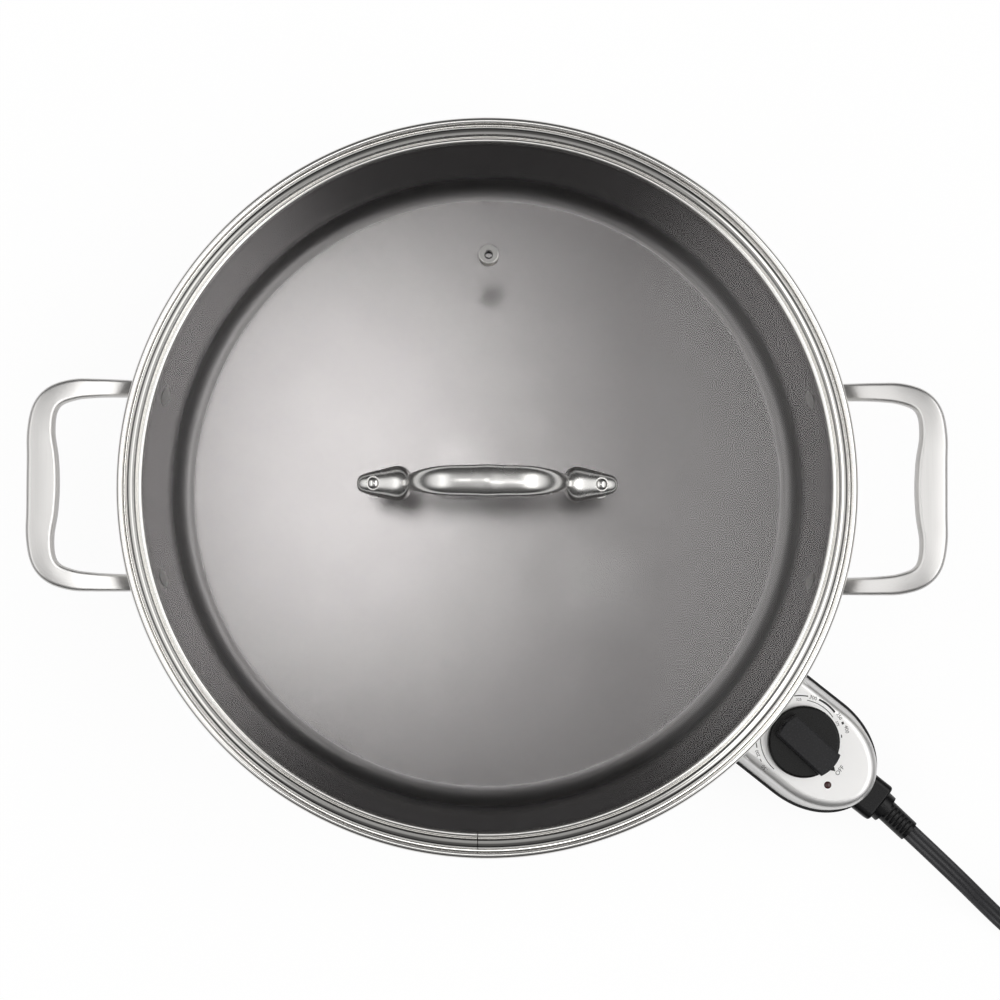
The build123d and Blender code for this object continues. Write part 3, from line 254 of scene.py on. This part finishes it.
def satin_steel(name):
    """Brushed steel whose grain follows the loop of a side handle."""
    straight_x, straight_y = 191.0 * MM, 26.5 * MM
    across, along = 1800.0, 30.0
    s = Shade(name, (0.86, 0.85, 0.84), 0.36, 1.0)
    x, y, z = s.axes(s.place)
    out = s.math("MAXIMUM", s.math("SUBTRACT", s.math("ABSOLUTE", x), straight_x), 0.0)
    side = s.math("MAXIMUM", s.math("SUBTRACT", s.math("ABSOLUTE", y), straight_y), 0.0)
    lane = s.hypotenuse(out, side)
    scaled = s.product(lane, across), s.product(z, across), s.product(s.total(x, y), along)
    strokes = s.made("ShaderNodeCombineXYZ", *scaled)
    fine = s.noise(1.0, strokes, 6)
    s.roughen(fine, 0.03)
    s.vary(s.noise(1.0, strokes, 3), 0.02)
    s.bump(fine, 0.0002)
    return s.mat


def nonstick(name):
    """Smooth dark coating, duller where the floor turns up into the wall."""
    smooth, dull = 0.17, 0.40
    s = Shade(name, (0.265, 0.258, 0.260), smooth, 0.97)
    s.vary(s.noise(40.0, detail=2), 0.02)
    _, radius, height = s.polar()
    past_floor = s.ranged(radius, 142.5 * MM, 146.5 * MM)
    below_wall = s.ranged(height, 50.0 * MM, 56.0 * MM, 1.0, 0.0)
    rough = s.ranged(s.product(past_floor, below_wall), 0.0, 1.0, smooth, dull)
    s.links.new(rough, s.bsdf.inputs["Roughness"])
    return s.mat


def knob_plastic(name):
    """Moulded black with a painted sheen: the colour is lighter towards the top of the raised grip bar."""
    disc_z, bar_z = 53.0 * MM, 58.0 * MM
    s = Shade(name, (0.010, 0.010, 0.011), 0.26, Specular_IOR_Level=0.34)
    # Painted sheen: base colour goes from near black at the disc to lighter at the bar's top
    s.colours(s.axes(s.place)[2], (0.002, 0.002, 0.002), (0.016, 0.016, 0.018), disc_z, bar_z)
    s.roughen(s.noise(900.0, detail=3), 0.04)
    s.bump(s.noise(2600.0, detail=2), 0.004)
    return s.mat


def eyelet_steel(name, node):
    """Bright rolled eyelet, its bore painted dark as shade."""
    bright, dark = (0.90, 0.89, 0.87), (0.004, 0.004, 0.004)
    low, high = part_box(node)
    s = Shade(name, bright, 0.22, 0.9)
    radius = s.polar(((low[0] + high[0]) / 2, (low[1] + high[1]) / 2))[1]
    # Painted shade: colour goes dark inside the bore's radius
    s.colours(radius, dark, bright, 1.92 * MM, 2.02 * MM)
    s.roughen(s.noise(600.0, detail=3), 0.05)
    return s.mat


MATERIALS = {
    "polished_steel": polished_steel("polished steel"),
    "satin_steel": satin_steel("satin steel"),
    "nonstick": nonstick("nonstick coating"),
    "cast_aluminium": metal("cast aluminium", (0.55, 0.56, 0.57), 0.45, 260.0),
    "element_steel": metal("element steel", (0.16, 0.15, 0.14), 0.42, 180.0),
    "contact_brass": metal("brass", (0.72, 0.56, 0.26), 0.25),
    "white_ceramic": grained(
        "white ceramic", (0.80, 0.77, 0.70), 0.30, tint=(300.0, 4, 0.06), relief=(1500.0, 4, 0.01)
    ),
    "black_plastic": moulded("black plastic", (0.005, 0.005, 0.006), 0.30, shine=0.32),
    "silver_cover": grained(
        "silver paint", (0.96, 0.955, 0.95), 0.36, 0.85, tint=(30.0, 4, 0.015), relief=(3500.0, 2, 0.003)
    ),
    "zinc_screw": metal("zinc plate", (0.60, 0.61, 0.63), 0.3),
    "rubber_black": moulded("black rubber", (0.022, 0.022, 0.022), 0.62, 900.0, 0.02),
    "silicone_clear": moulded("clear silicone", (0.62, 0.63, 0.62), 0.35),
    "lid_glass": grained(
        "lid glass", (0.985, 0.982, 0.98), 0.0, relief=(14.0, 1, 0.02),
        Transmission_Weight=1.0, IOR=1.2, Specular_IOR_Level=0.12,
    ),
    "lamp_red": lens_red("red lens"),
    "lamp_glass": lens_red("lamp glass"),
    "cord_jacket": moulded("cord jacket", (0.05, 0.05, 0.054), 0.45, 1600.0, 0.01),
    "wire_insulation": moulded("wire insulation", (0.05, 0.05, 0.05), 0.5),
    "spring_steel": metal("spring steel", (0.5, 0.5, 0.52), 0.3),
}

# Pieces that look unlike the rest of their material slot
OWN_MATERIALS = {
    "dial_knob": knob_plastic("knob plastic"),
    "handle_rivets": grained(
        "rivet steel", (0.74, 0.73, 0.72), 0.38, 0.45, tint=(500.0, 4, 0.05), gloss=(500.0, 4, 0.05)
    ),
    "vent_grommet": eyelet_steel("eyelet steel", "vent_grommet"),
    "lid_handle": grained(
        "satin chrome", (0.95, 0.94, 0.925), 0.25, 1.0, tint=(60.0, 3, 0.02), gloss=(60.0, 3, 0.03)
    ),
}


def clothe(obj, material):
    obj.data.materials.clear()
    obj.data.materials.append(material)


for part in frame["record"]["subparts"]:
    clothe(nodes[part["node"]], OWN_MATERIALS.get(part["node"]) or MATERIALS[part["material_slot"]])


def smooth(obj, angle=35.0):
    """Smooth shading with sharp edges kept where faces turn more than an angle."""
    bm = bmesh.new()
    bm.from_mesh(obj.data)
    for face in bm.faces:
        face.smooth = True
    for edge in bm.edges:
        edge.smooth = len(edge.link_faces) == 2 and edge.calc_face_angle(0) < math.radians(angle)
    bm.to_mesh(obj.data)
    bm.free()


def mesh_object(name, verts, faces, material, body):
    mesh = bpy.data.meshes.new(name)
    mesh.from_pydata([tuple(v) for v in verts], [], faces)
    obj = bpy.data.objects.new(name, mesh)
    scene.collection.objects.link(obj)
    clothe(obj, material)
    smooth(obj)
    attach(obj, body)
    return obj


def way(degrees):
    """Level direction at an azimuth."""
    a = math.radians(degrees)
    return Vector((math.cos(a), math.sin(a), 0.0))


# Pan and lid band, lathed finely so that their reflections run smoothly, in millimetres

TURNS = 480
FLOOR_Z = 42.0
ROLL_Z = 107.5
LEDGE_Z = 113.5
FOOT_R = 151.0
ROUND_R = 8.0
LEAN = math.atan(14.3 / 71.5)

# Depths of the liner's and the shell's outer faces, counted from the pan's inner face
LINER, SHELL = 2.5, 3.5


def wall_r(z, skin):
    """Radius of the wall at a height, a depth into it."""
    return FOOT_R + (z - FLOOR_Z) * math.tan(LEAN) + skin / math.cos(LEAN)


def arc(centre, radius, start, end, count):
    """Points of an arc in radius and height, angles in degrees."""
    points = []
    for i in range(count + 1):
        a = math.radians(start + (end - start) * i / count)
        points.append((centre[0] + radius * math.cos(a), centre[1] + radius * math.sin(a)))
    return points


def corner(skin):
    """Round between the pan's floor and its wall, with a point 1 mm before it and one 1 mm above it."""
    x, z = wall_r(FLOOR_Z + ROUND_R, -ROUND_R), FLOOR_Z + ROUND_R
    round_part = arc((x, z), ROUND_R + skin, -90, -math.degrees(LEAN), 10)
    top = round_part[-1][1] + 1.0
    return [(x - 1.0, FLOOR_Z - skin)] + round_part + [(wall_r(top, skin), top)]


def bent(a, b, c, count):
    """Points of the arc through three points."""
    (ax, ay), (bx, by), (cx, cy) = a, b, c
    d = 2 * (ax * (by - cy) + bx * (cy - ay) + cx * (ay - by))
    a2, b2, c2 = ax * ax + ay * ay, bx * bx + by * by, cx * cx + cy * cy
    ox = (a2 * (by - cy) + b2 * (cy - ay) + c2 * (ay - by)) / d
    oy = (a2 * (cx - bx) + b2 * (ax - cx) + c2 * (bx - ax)) / d
    start = math.degrees(math.atan2(ay - oy, ax - ox))
    middle = math.degrees(math.atan2(by - oy, bx - ox))
    end = math.degrees(math.atan2(cy - oy, cx - ox))
    first = (middle - start + 180) % 360 - 180
    second = (end - middle + 180) % 360 - 180
    return arc((ox, oy), math.hypot(ax - ox, ay - oy), start, start + first + second, count)


def lathed(name, profile, material, body, node):
    """Turned mesh from a closed profile in radius and height, in place of a node."""
    rings = []
    verts = []
    for r, z in profile:
        if r < 1e-6:
            rings.append([len(verts)] * TURNS)
            verts.append((0.0, 0.0, z * MM))
        else:
            rings.append(list(range(len(verts), len(verts) + TURNS)))
            for i in range(TURNS):
                a = 2 * math.pi * i / TURNS
                verts.append((r * math.cos(a) * MM, r * math.sin(a) * MM, z * MM))
    faces = []
    for k, low in enumerate(rings):
        high = rings[(k + 1) % len(rings)]
        if low[0] == low[1] and high[0] == high[1]:
            continue
        for i in range(TURNS):
            j = (i + 1) % TURNS
            faces.append(tuple(dict.fromkeys((low[i], low[j], high[j], high[i]))))
    obj = mesh_object(name, verts, faces, material, body)
    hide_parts(node)


def pan_and_band():
    def wall(z, skin):
        return wall_r(z, skin), z

    def underside(skin):
        return corner(skin)[::-1] + [(0, FLOOR_Z - skin)]

    liner = [(0, FLOOR_Z)] + corner(0) + [wall(LEDGE_Z, 0), wall(LEDGE_Z, LINER)] + underside(LINER)
    lathed("pan_lining", liner, MATERIALS["nonstick"], "skillet", "pan_liner")

    lip_centre, lip_r, lip_inner_r = (170.6, 116.3), 1.7, 168.9
    shell = [(0, FLOOR_Z - LINER)] + corner(LINER)
    shell += [wall(ROLL_Z, LINER), wall(LEDGE_Z, LINER), (lip_inner_r, LEDGE_Z)]
    shell += arc(lip_centre, lip_r, 180, -90, 30) + [wall(ROLL_Z, SHELL)] + underside(SHELL)
    lathed("pan_skin", shell, MATERIALS["polished_steel"], "skillet", "pan_shell")

    shoulder, crest, groove, inner = (168.2, 117.1), (163.7, 121.1), (162.4, 119.7), (159.6, 119.5)
    band = [(160.1, LEDGE_Z), (shoulder[0], LEDGE_Z)] + bent(shoulder, (166.88, 119.93), crest, 14)
    band += bent(groove, (161.0, 120.5), inner, 12) + [(inner[0], 117.3)]
    lathed("band_ring", band, band_steel("band steel"), "lid", "lid_rim_band")


pan_and_band()


# Side handles, swept along the same sections as the solids, with softer edges

LOOP_START_X, LOOP_REACH, LOOP_HALF = 157.05, 57.35, 49.8
LOOP_Z, LOOP_RISE = 94.5, 17.5
BAR_WIDTH, BAR_THICK, BAR_CORNER = 15.0, 8.5, 0.28
PAD_ANGLE, PAD_Z = 15.74, 85.0
PAD_WIDTH, PAD_HEIGHT, PAD_CORNER = 19.0, 27.0, 6.0

# One half of the loop, as shares of the sizes above: out, across, rise, width and thickness, then the heading in
# degrees of the bar's width
HALF_LOOP = [
    (-0.04, 0.917, -0.07, 0.53, 0.76, 0),
    (0.08, 0.917, 0.13, 0.53, 0.76, 0),
    (0.20, 0.917, 0.33, 0.54, 0.76, 0),
    (0.34, 0.915, 0.54, 0.56, 0.77, -1),
    (0.47, 0.910, 0.70, 0.59, 0.79, -3),
    (0.630, 0.893, 0.85, 0.65, 0.84, -12),
    (0.781, 0.828, 0.94, 0.69, 0.90, -38),
    (0.864, 0.700, 0.98, 0.77, 0.95, -66),
    (0.890, 0.485, 1.00, 0.85, 1.00, -88),
    (0.875, 0.242, 1.00, 0.96, 1.00, -90),
    (0.870, 0.000, 1.00, 1.00, 1.00, -90),
]


def between(a, b, c, d, t):
    """Smooth value between b and c."""
    return b + 0.5 * t * (c - a + t * (2 * a - 5 * b + 4 * c - d + t * (3 * (b - c) + d - a)))


def rounded(width, height, radius):
    """Outline of a rectangle with rounded corners."""
    points = []
    for sx, sy, start in ((1, 1, 0), (-1, 1, 90), (-1, -1, 180), (1, -1, 270)):
        cx, cy = sx * (width / 2 - radius), sy * (height / 2 - radius)
        points += arc((cx, cy), radius, start, start + 90, 5)
    return points


def swept(verts, faces, sections):
    """Skin through closed sections with equal counts, capped at both ends."""
    base, n = len(verts), len(sections[0])
    for section in sections:
        verts += section
    for i in range(len(sections) - 1):
        for j in range(n):
            k = (j + 1) % n
            a, b = base + i * n, base + (i + 1) * n
            faces.append((a + j, a + k, b + k, b + j))
    faces.append(tuple(base + j for j in reversed(range(n))))
    faces.append(tuple(base + (len(sections) - 1) * n + j for j in range(n)))


def trimmed(v):
    """Point moved out along X until it lies inside the pan's wall or beyond it."""
    least = wall_r(min(v.z, 112.0), 1.7)
    if math.hypot(v.x, v.y) < least:
        return Vector((math.sqrt(least**2 - v.y**2), v.y, v.z))
    return v


def loop_samples(steps=8):
    """Position, width, thickness and azimuth of the bar, finely along the whole loop."""
    rows = []
    for side, part in ((1, HALF_LOOP), (-1, HALF_LOOP[-2::-1])):
        for out, across, rise, width, thick, heading in part:
            x, y = LOOP_START_X + out * LOOP_REACH, side * across * LOOP_HALF
            z = LOOP_Z + rise * LOOP_RISE
            rows.append((x, y, z, width * BAR_WIDTH, thick * BAR_THICK, side * (90 + heading)))
    samples = []
    for i in range(len(rows) - 1):
        four = [rows[max(0, i - 1)], rows[i], rows[i + 1], rows[min(len(rows) - 1, i + 2)]]
        for k in range(steps):
            samples.append([between(*column, k / steps) for column in zip(*four)])
    samples.append(list(rows[-1]))
    return samples


def side_loop(name, azimuth, node):
    """Loop handle with its two pads, in place of a node, turned to an azimuth."""
    place = Matrix.Scale(MM, 4) @ Matrix.Rotation(math.radians(azimuth), 4, "Z")
    verts, faces = [], []
    samples = loop_samples()
    sections = []
    for i, (x, y, z, width, thick, angle) in enumerate(samples):
        before, after = samples[max(0, i - 1)], samples[min(len(samples) - 1, i + 1)]
        ahead = (Vector(after[:3]) - Vector(before[:3])).normalized()
        over = way(angle).cross(ahead).normalized()
        side = ahead.cross(over)
        centre = Vector((x, y, z))
        ring = rounded(width, thick, BAR_CORNER * thick)
        sections.append([place @ trimmed(centre + side * u + over * v) for u, v in ring])
    swept(verts, faces, sections)
    for pad in (PAD_ANGLE, -PAD_ANGLE):
        out = way(pad) * math.cos(LEAN) - Vector((0, 0, math.sin(LEAN)))
        across = way(pad + 90)
        rise = out.cross(across)
        centre = way(pad) * wall_r(PAD_Z, 0) + Vector((0, 0, PAD_Z))
        plate = []
        for depth, inset in ((3.2, 0.0), (6.2, 0.0), (6.5, 0.3)):
            ring = rounded(PAD_WIDTH - 2 * inset, PAD_HEIGHT - 2 * inset, PAD_CORNER - inset)
            plate.append([place @ (centre + out * depth + across * u + rise * v) for u, v in ring])
        swept(verts, faces, plate)
    obj = mesh_object(name, verts, faces, MATERIALS["satin_steel"], "skillet")
    bm = bmesh.new()
    bm.from_mesh(obj.data)
    bmesh.ops.recalc_face_normals(bm, faces=bm.faces)
    bm.to_mesh(obj.data)
    bm.free()
    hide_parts(node)


side_loop("loop_right", 0, "side_handle_right")
side_loop("loop_left", 180, "side_handle_left")


# Cord: a flat three-core lead that leaves the relief lying flat and turns on edge for the coil

CORD_D = 8.7
EXIT_AT = Vector((210.5, -166.9, 26.0))
EXIT_ANGLE = -42.85
RUN = 108.7
COIL_R = 50.5
COIL_Z = 5.2
PITCH = 9.2
TAIL_Z = 12.5

# Length after which the lead starts to turn on edge, and the length that it takes
FLAT_FOR, TWIST_FOR = 62.0, 52.0


def at_z(v, z):
    return Vector((v.x, v.y, z))


def eased(t):
    """Smooth step from 0 to 1."""
    return 3 * t * t - 2 * t**3


def half_turn(centre, angle, radius, rise=0.0, steps=8):
    """Control points of half a turn of the coil, far enough out for the curve to keep the radius."""
    swell = 1 / math.cos(math.pi / steps / 2)
    points = []
    for i in range(steps):
        t = (i + 0.5) / steps
        points.append(centre + way(angle + 180 * t) * radius * swell + Vector((0, 0, rise * eased(t))))
    return points


def cord_route():
    run = way(EXIT_ANGLE)
    centre = at_z(EXIT_AT + run * RUN + way(EXIT_ANGLE + 90) * COIL_R, COIL_Z)
    start = EXIT_ANGLE - 90
    axis = way(start)
    up = Vector((0, 0, PITCH))
    route = [
        EXIT_AT,
        EXIT_AT + run * 30,
        at_z(EXIT_AT + run * 65, 3.2),
        at_z(EXIT_AT + run * 100, 4.7),
    ]
    route += half_turn(centre, start, COIL_R)
    route += half_turn(centre - axis * PITCH / 2, start + 180, COIL_R - PITCH / 2)
    route += half_turn(centre, start, COIL_R - PITCH, PITCH)
    route += half_turn(centre + up + axis * PITCH / 2, start + 180, COIL_R - PITCH / 2)
    route += half_turn(centre + up, start, COIL_R)
    ahead, aside = way(start + 270), way(start + 180)
    tail = centre + up - axis * COIL_R + ahead * CORD_D
    route += [
        tail + ahead * 20,
        at_z(tail + ahead * 39 + aside * 5, TAIL_Z),
        at_z(tail + ahead * 56 + aside * 13.5, TAIL_Z),
    ]
    return route


def spline_points(name, points):
    """Points along the smooth NURBS curve that the control points give."""
    curve = bpy.data.curves.new(name, "CURVE")
    curve.dimensions = "3D"
    curve.resolution_u = 14
    spline = curve.splines.new("NURBS")
    spline.points.add(len(points) - 1)
    for p, v in zip(spline.points, points):
        p.co = (*(v * MM), 1)
    spline.order_u = 3
    spline.use_endpoint_u = True
    obj = bpy.data.objects.new(name, curve)
    mesh = bpy.data.meshes.new_from_object(obj)
    line = [v.co.copy() for v in mesh.vertices]
    bpy.data.objects.remove(obj)
    return line


def lobes(core=1.75, spacing=2.6, steps=7):
    """Outline of three round cores side by side."""
    notch = math.degrees(math.acos(spacing / 2 / core))
    spans = [
        (spacing, -180 + notch, 180 - notch, 3 * steps),
        (0.0, notch, 180 - notch, steps),
        (-spacing, notch, 360 - notch, 3 * steps),
        (0.0, 180 + notch, 360 - notch, steps),
    ]
    outline = []
    for centre, start, end, count in spans:
        for i in range(count):
            a = math.radians(start + (end - start) * i / count)
            outline.append((centre + core * math.cos(a), core * math.sin(a)))
    return outline


def lead_ribbon():
    line = spline_points("cord_line", cord_route())
    outline = lobes()
    total = 0.0
    sections = []
    for i, p in enumerate(line):
        before, after = line[max(0, i - 1)], line[min(len(line) - 1, i + 1)]
        if i:
            total += (p - line[i - 1]).length / MM
        ahead = (after - before).normalized()
        side = ahead.cross(Vector((0, 0, 1))).normalized()
        over = side.cross(ahead)
        twist = math.pi / 2 * eased(min(1.0, max(0.0, (total - FLAT_FOR) / TWIST_FOR)))
        wide = side * math.cos(twist) + over * math.sin(twist)
        thick = over * math.cos(twist) - side * math.sin(twist)
        sections.append([p + (wide * x + thick * y) * MM for x, y in outline])
    verts, faces = [], []
    swept(verts, faces, sections)
    cord = mesh_object("cord_ribbon", verts, faces, MATERIALS["cord_jacket"], "control")
    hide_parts("cord_run", "cord_coil", "cord_tail")


lead_ribbon()


# Printing round the dial

DIAL = Matrix.Rotation(math.radians(-38.05), 4, "Z") @ Vector((195.5, 0, 46.0))
INK_H = 0.05
COVER = BVHTree.FromPolygons(
    [v.co.copy() for v in nodes["control_cover"].data.vertices],
    [tuple(p.vertices) for p in nodes["control_cover"].data.polygons],
)

# Radius, width, start and end of each arc. Angles run clockwise in degrees from the right
DIAL_ARCS = (
    (21.4, 0.55, -128, -79.5),
    (21.6, 1.0, -64.5, -38),
    (22.4, 1.1, -22.6, -19.4),
    (19.4, 0.35, -140, -104),
    (19.4, 0.35, -80, -34),
    (20.4, 0.5, -6.5, -2.5),
    (19.4, 0.35, 131, 205),
    (21.6, 0.5, 169, 205),
    (21.9, 0.4, 150, 154),
)

# Text, size, angle and radius of each label
DIAL_LABELS = (
    ("300", 2.6, -72.5, 21.3),
    ("350", 2.4, -30.6, 22.3),
    ("400", 2.6, -12.3, 23.3),
    ("200", 2.3, 161.5, 21.9),
    ("150", 2.5, 140.5, 22.4),
    ("325", 1.9, -92.0, 19.4),
    ("375", 1.8, -23.0, 19.8),
)


def on_cover(v):
    """Point in millimetres dropped onto the cover, with the ink's thickness under it."""
    hit = COVER.ray_cast(Vector((v.x, v.y, 60.0)) * MM, Vector((0, 0, -1)))[0]
    return hit + Vector((0, 0, INK_H)) * MM if hit else v * MM


def ring_arc(verts, faces, radius, width, start, end):
    """Flat arc about the dial."""
    count = max(2, int(abs(end - start) / 1.5))
    base = len(verts)
    for i in range(count + 1):
        a = math.radians(-(start + (end - start) * i / count))
        for r in (radius - width / 2, radius + width / 2):
            verts.append(on_cover(DIAL + Vector((r * math.cos(a), r * math.sin(a), 0))))
    for i in range(count):
        b = base + 2 * i
        faces.append((b, b + 1, b + 3, b + 2))


def lettering(verts, faces, text, size, angle, radius, inward=False):
    """Text set round the dial, its middle at an angle and a radius."""
    curve = bpy.data.curves.new("letters", "FONT")
    curve.body = text
    curve.size = size
    curve.align_x = "CENTER"
    curve.align_y = "CENTER"
    curve.resolution_u = 3
    obj = bpy.data.objects.new("letters", curve)
    mesh = bpy.data.meshes.new_from_object(obj)
    a = math.radians(-angle)
    facing = a - math.pi / 2 + (math.pi if inward else 0)
    place = Matrix.Translation(DIAL + Vector((radius * math.cos(a), radius * math.sin(a), 0)))
    place = place @ Matrix.Rotation(facing, 4, "Z")
    base = len(verts)
    verts.extend(on_cover(place @ v.co) for v in mesh.vertices)
    faces.extend(tuple(base + i for i in p.vertices) for p in mesh.polygons)
    bpy.data.objects.remove(obj)


def dial_print():
    verts, faces = [], []
    for row in DIAL_ARCS:
        ring_arc(verts, faces, *row)
    for row in DIAL_LABELS:
        lettering(verts, faces, *row)
    lettering(verts, faces, "OFF", 3.1, 38.0, 24.7, inward=True)
    ink = moulded("black ink", (0.02, 0.02, 0.022), 0.5, 3000.0, 0.004)
    mesh_object("dial_print", verts, faces, ink, "control")


dial_print()


# Floor and light


def studio_floor(half=6.0):
    """White floor that keeps the object's shadow. Metal mirrors it less where it is farther away."""
    mesh = bpy.data.meshes.new("floor")
    square = [(-half, -half, 0), (half, -half, 0), (half, half, 0), (-half, half, 0)]
    mesh.from_pydata(square, [], [(0, 1, 2, 3)])
    obj = bpy.data.objects.new("floor", mesh)
    scene.collection.objects.link(obj)
    mat = bpy.data.materials.new("floor")
    mat.use_nodes = True
    mat.node_tree.nodes.clear()
    g = Graph(mat.node_tree)
    out = g.node("ShaderNodeOutputMaterial")
    paint = g.node("ShaderNodeBsdfDiffuse")
    paint.inputs["Color"].default_value = (0.86, 0.86, 0.86, 1)
    glow = g.node("ShaderNodeEmission")
    glow.inputs["Strength"].default_value = 1.06
    bright = g.made("ShaderNodeMixShader", 0.88, paint.outputs[0], glow.outputs[0])
    path = g.node("ShaderNodeLightPath").outputs
    away = g.node("ShaderNodeVectorMath", operation="LENGTH")
    g.feed(away.inputs, g.node("ShaderNodeTexCoord").outputs["Object"])
    fading = g.ranged(away.outputs["Value"], 0.9, 0.3, 0.10, 0.45)
    seen = g.math("MAXIMUM", path["Is Camera Ray"], path["Is Transmission Ray"])
    seen = g.math("MAXIMUM", seen, g.product(path["Is Glossy Ray"], fading))
    g.feed(out.inputs, g.made("ShaderNodeMixShader", seen, paint.outputs[0], bright))
    mesh.materials.append(mat)


def studio_light():
    """Soft light from all round, with soft boxes overhead and a dark horizon that the camera sees as white."""
    world = bpy.data.worlds.new("world")
    scene.world = world
    world.use_nodes = True
    g = Graph(world.node_tree)
    x, y, z = g.axes(g.node("ShaderNodeTexCoord").outputs["Generated"])
    x2, y2 = g.product(x, x), g.product(y, y)

    def step(value, start, end):
        return g.ranged(value, start, end, interpolation_type="SMOOTHSTEP")

    # Strength of each soft box, then where each of its edges starts and is full
    over = (z, 0.3, 0.6)
    middle = (y2, 0.50, 0.12)
    lane = (0.26, (y, -0.12, 0.0), (y, 0.17, 0.06), (x2, 0.12, 0.02), over)
    box = (4.6, (y, -0.07, 0.02), (y, 0.16, 0.09), (x, 0.05, -0.06), (x, -0.14, -0.06), over)
    patch = (2.6, (x, 0.10, 0.19), (x, 0.34, 0.22), (y, -0.03, -0.12), (y, -0.26, -0.15), over)
    east = (1.5, middle, (x, 0.24, 0.42), (x, 0.70, 0.54), (z, 0.2, 0.5))
    west = (0.55, middle, (x, -0.24, -0.42), (x, -0.70, -0.54), (z, 0.2, 0.5))
    strip = (0.45, (x2, 0.08, 0.30), (y2, 0.5, 0.1), (z, 0.15, 0.7))

    across = g.total(0.09, g.product(step(*middle), 0.27))
    upward = g.total(0.10, g.product(step(z, 0.06, 0.60), 0.90))
    glow = g.product(across, upward)
    for strength, *edges in (lane, box, patch, east, west, strip):
        glow = g.total(glow, g.product(strength, *(step(*edge) for edge in edges)))
    seen = g.node("ShaderNodeLightPath").outputs["Is Camera Ray"]
    glow = g.total(g.product(glow, g.math("SUBTRACT", 1.0, seen)), g.product(seen, 1.02))
    background = g.nodes["Background"]
    g.links.new(glow, background.inputs["Strength"])
    background.inputs["Color"].default_value = (1.0, 0.995, 0.985, 1)


studio_floor()
studio_light()
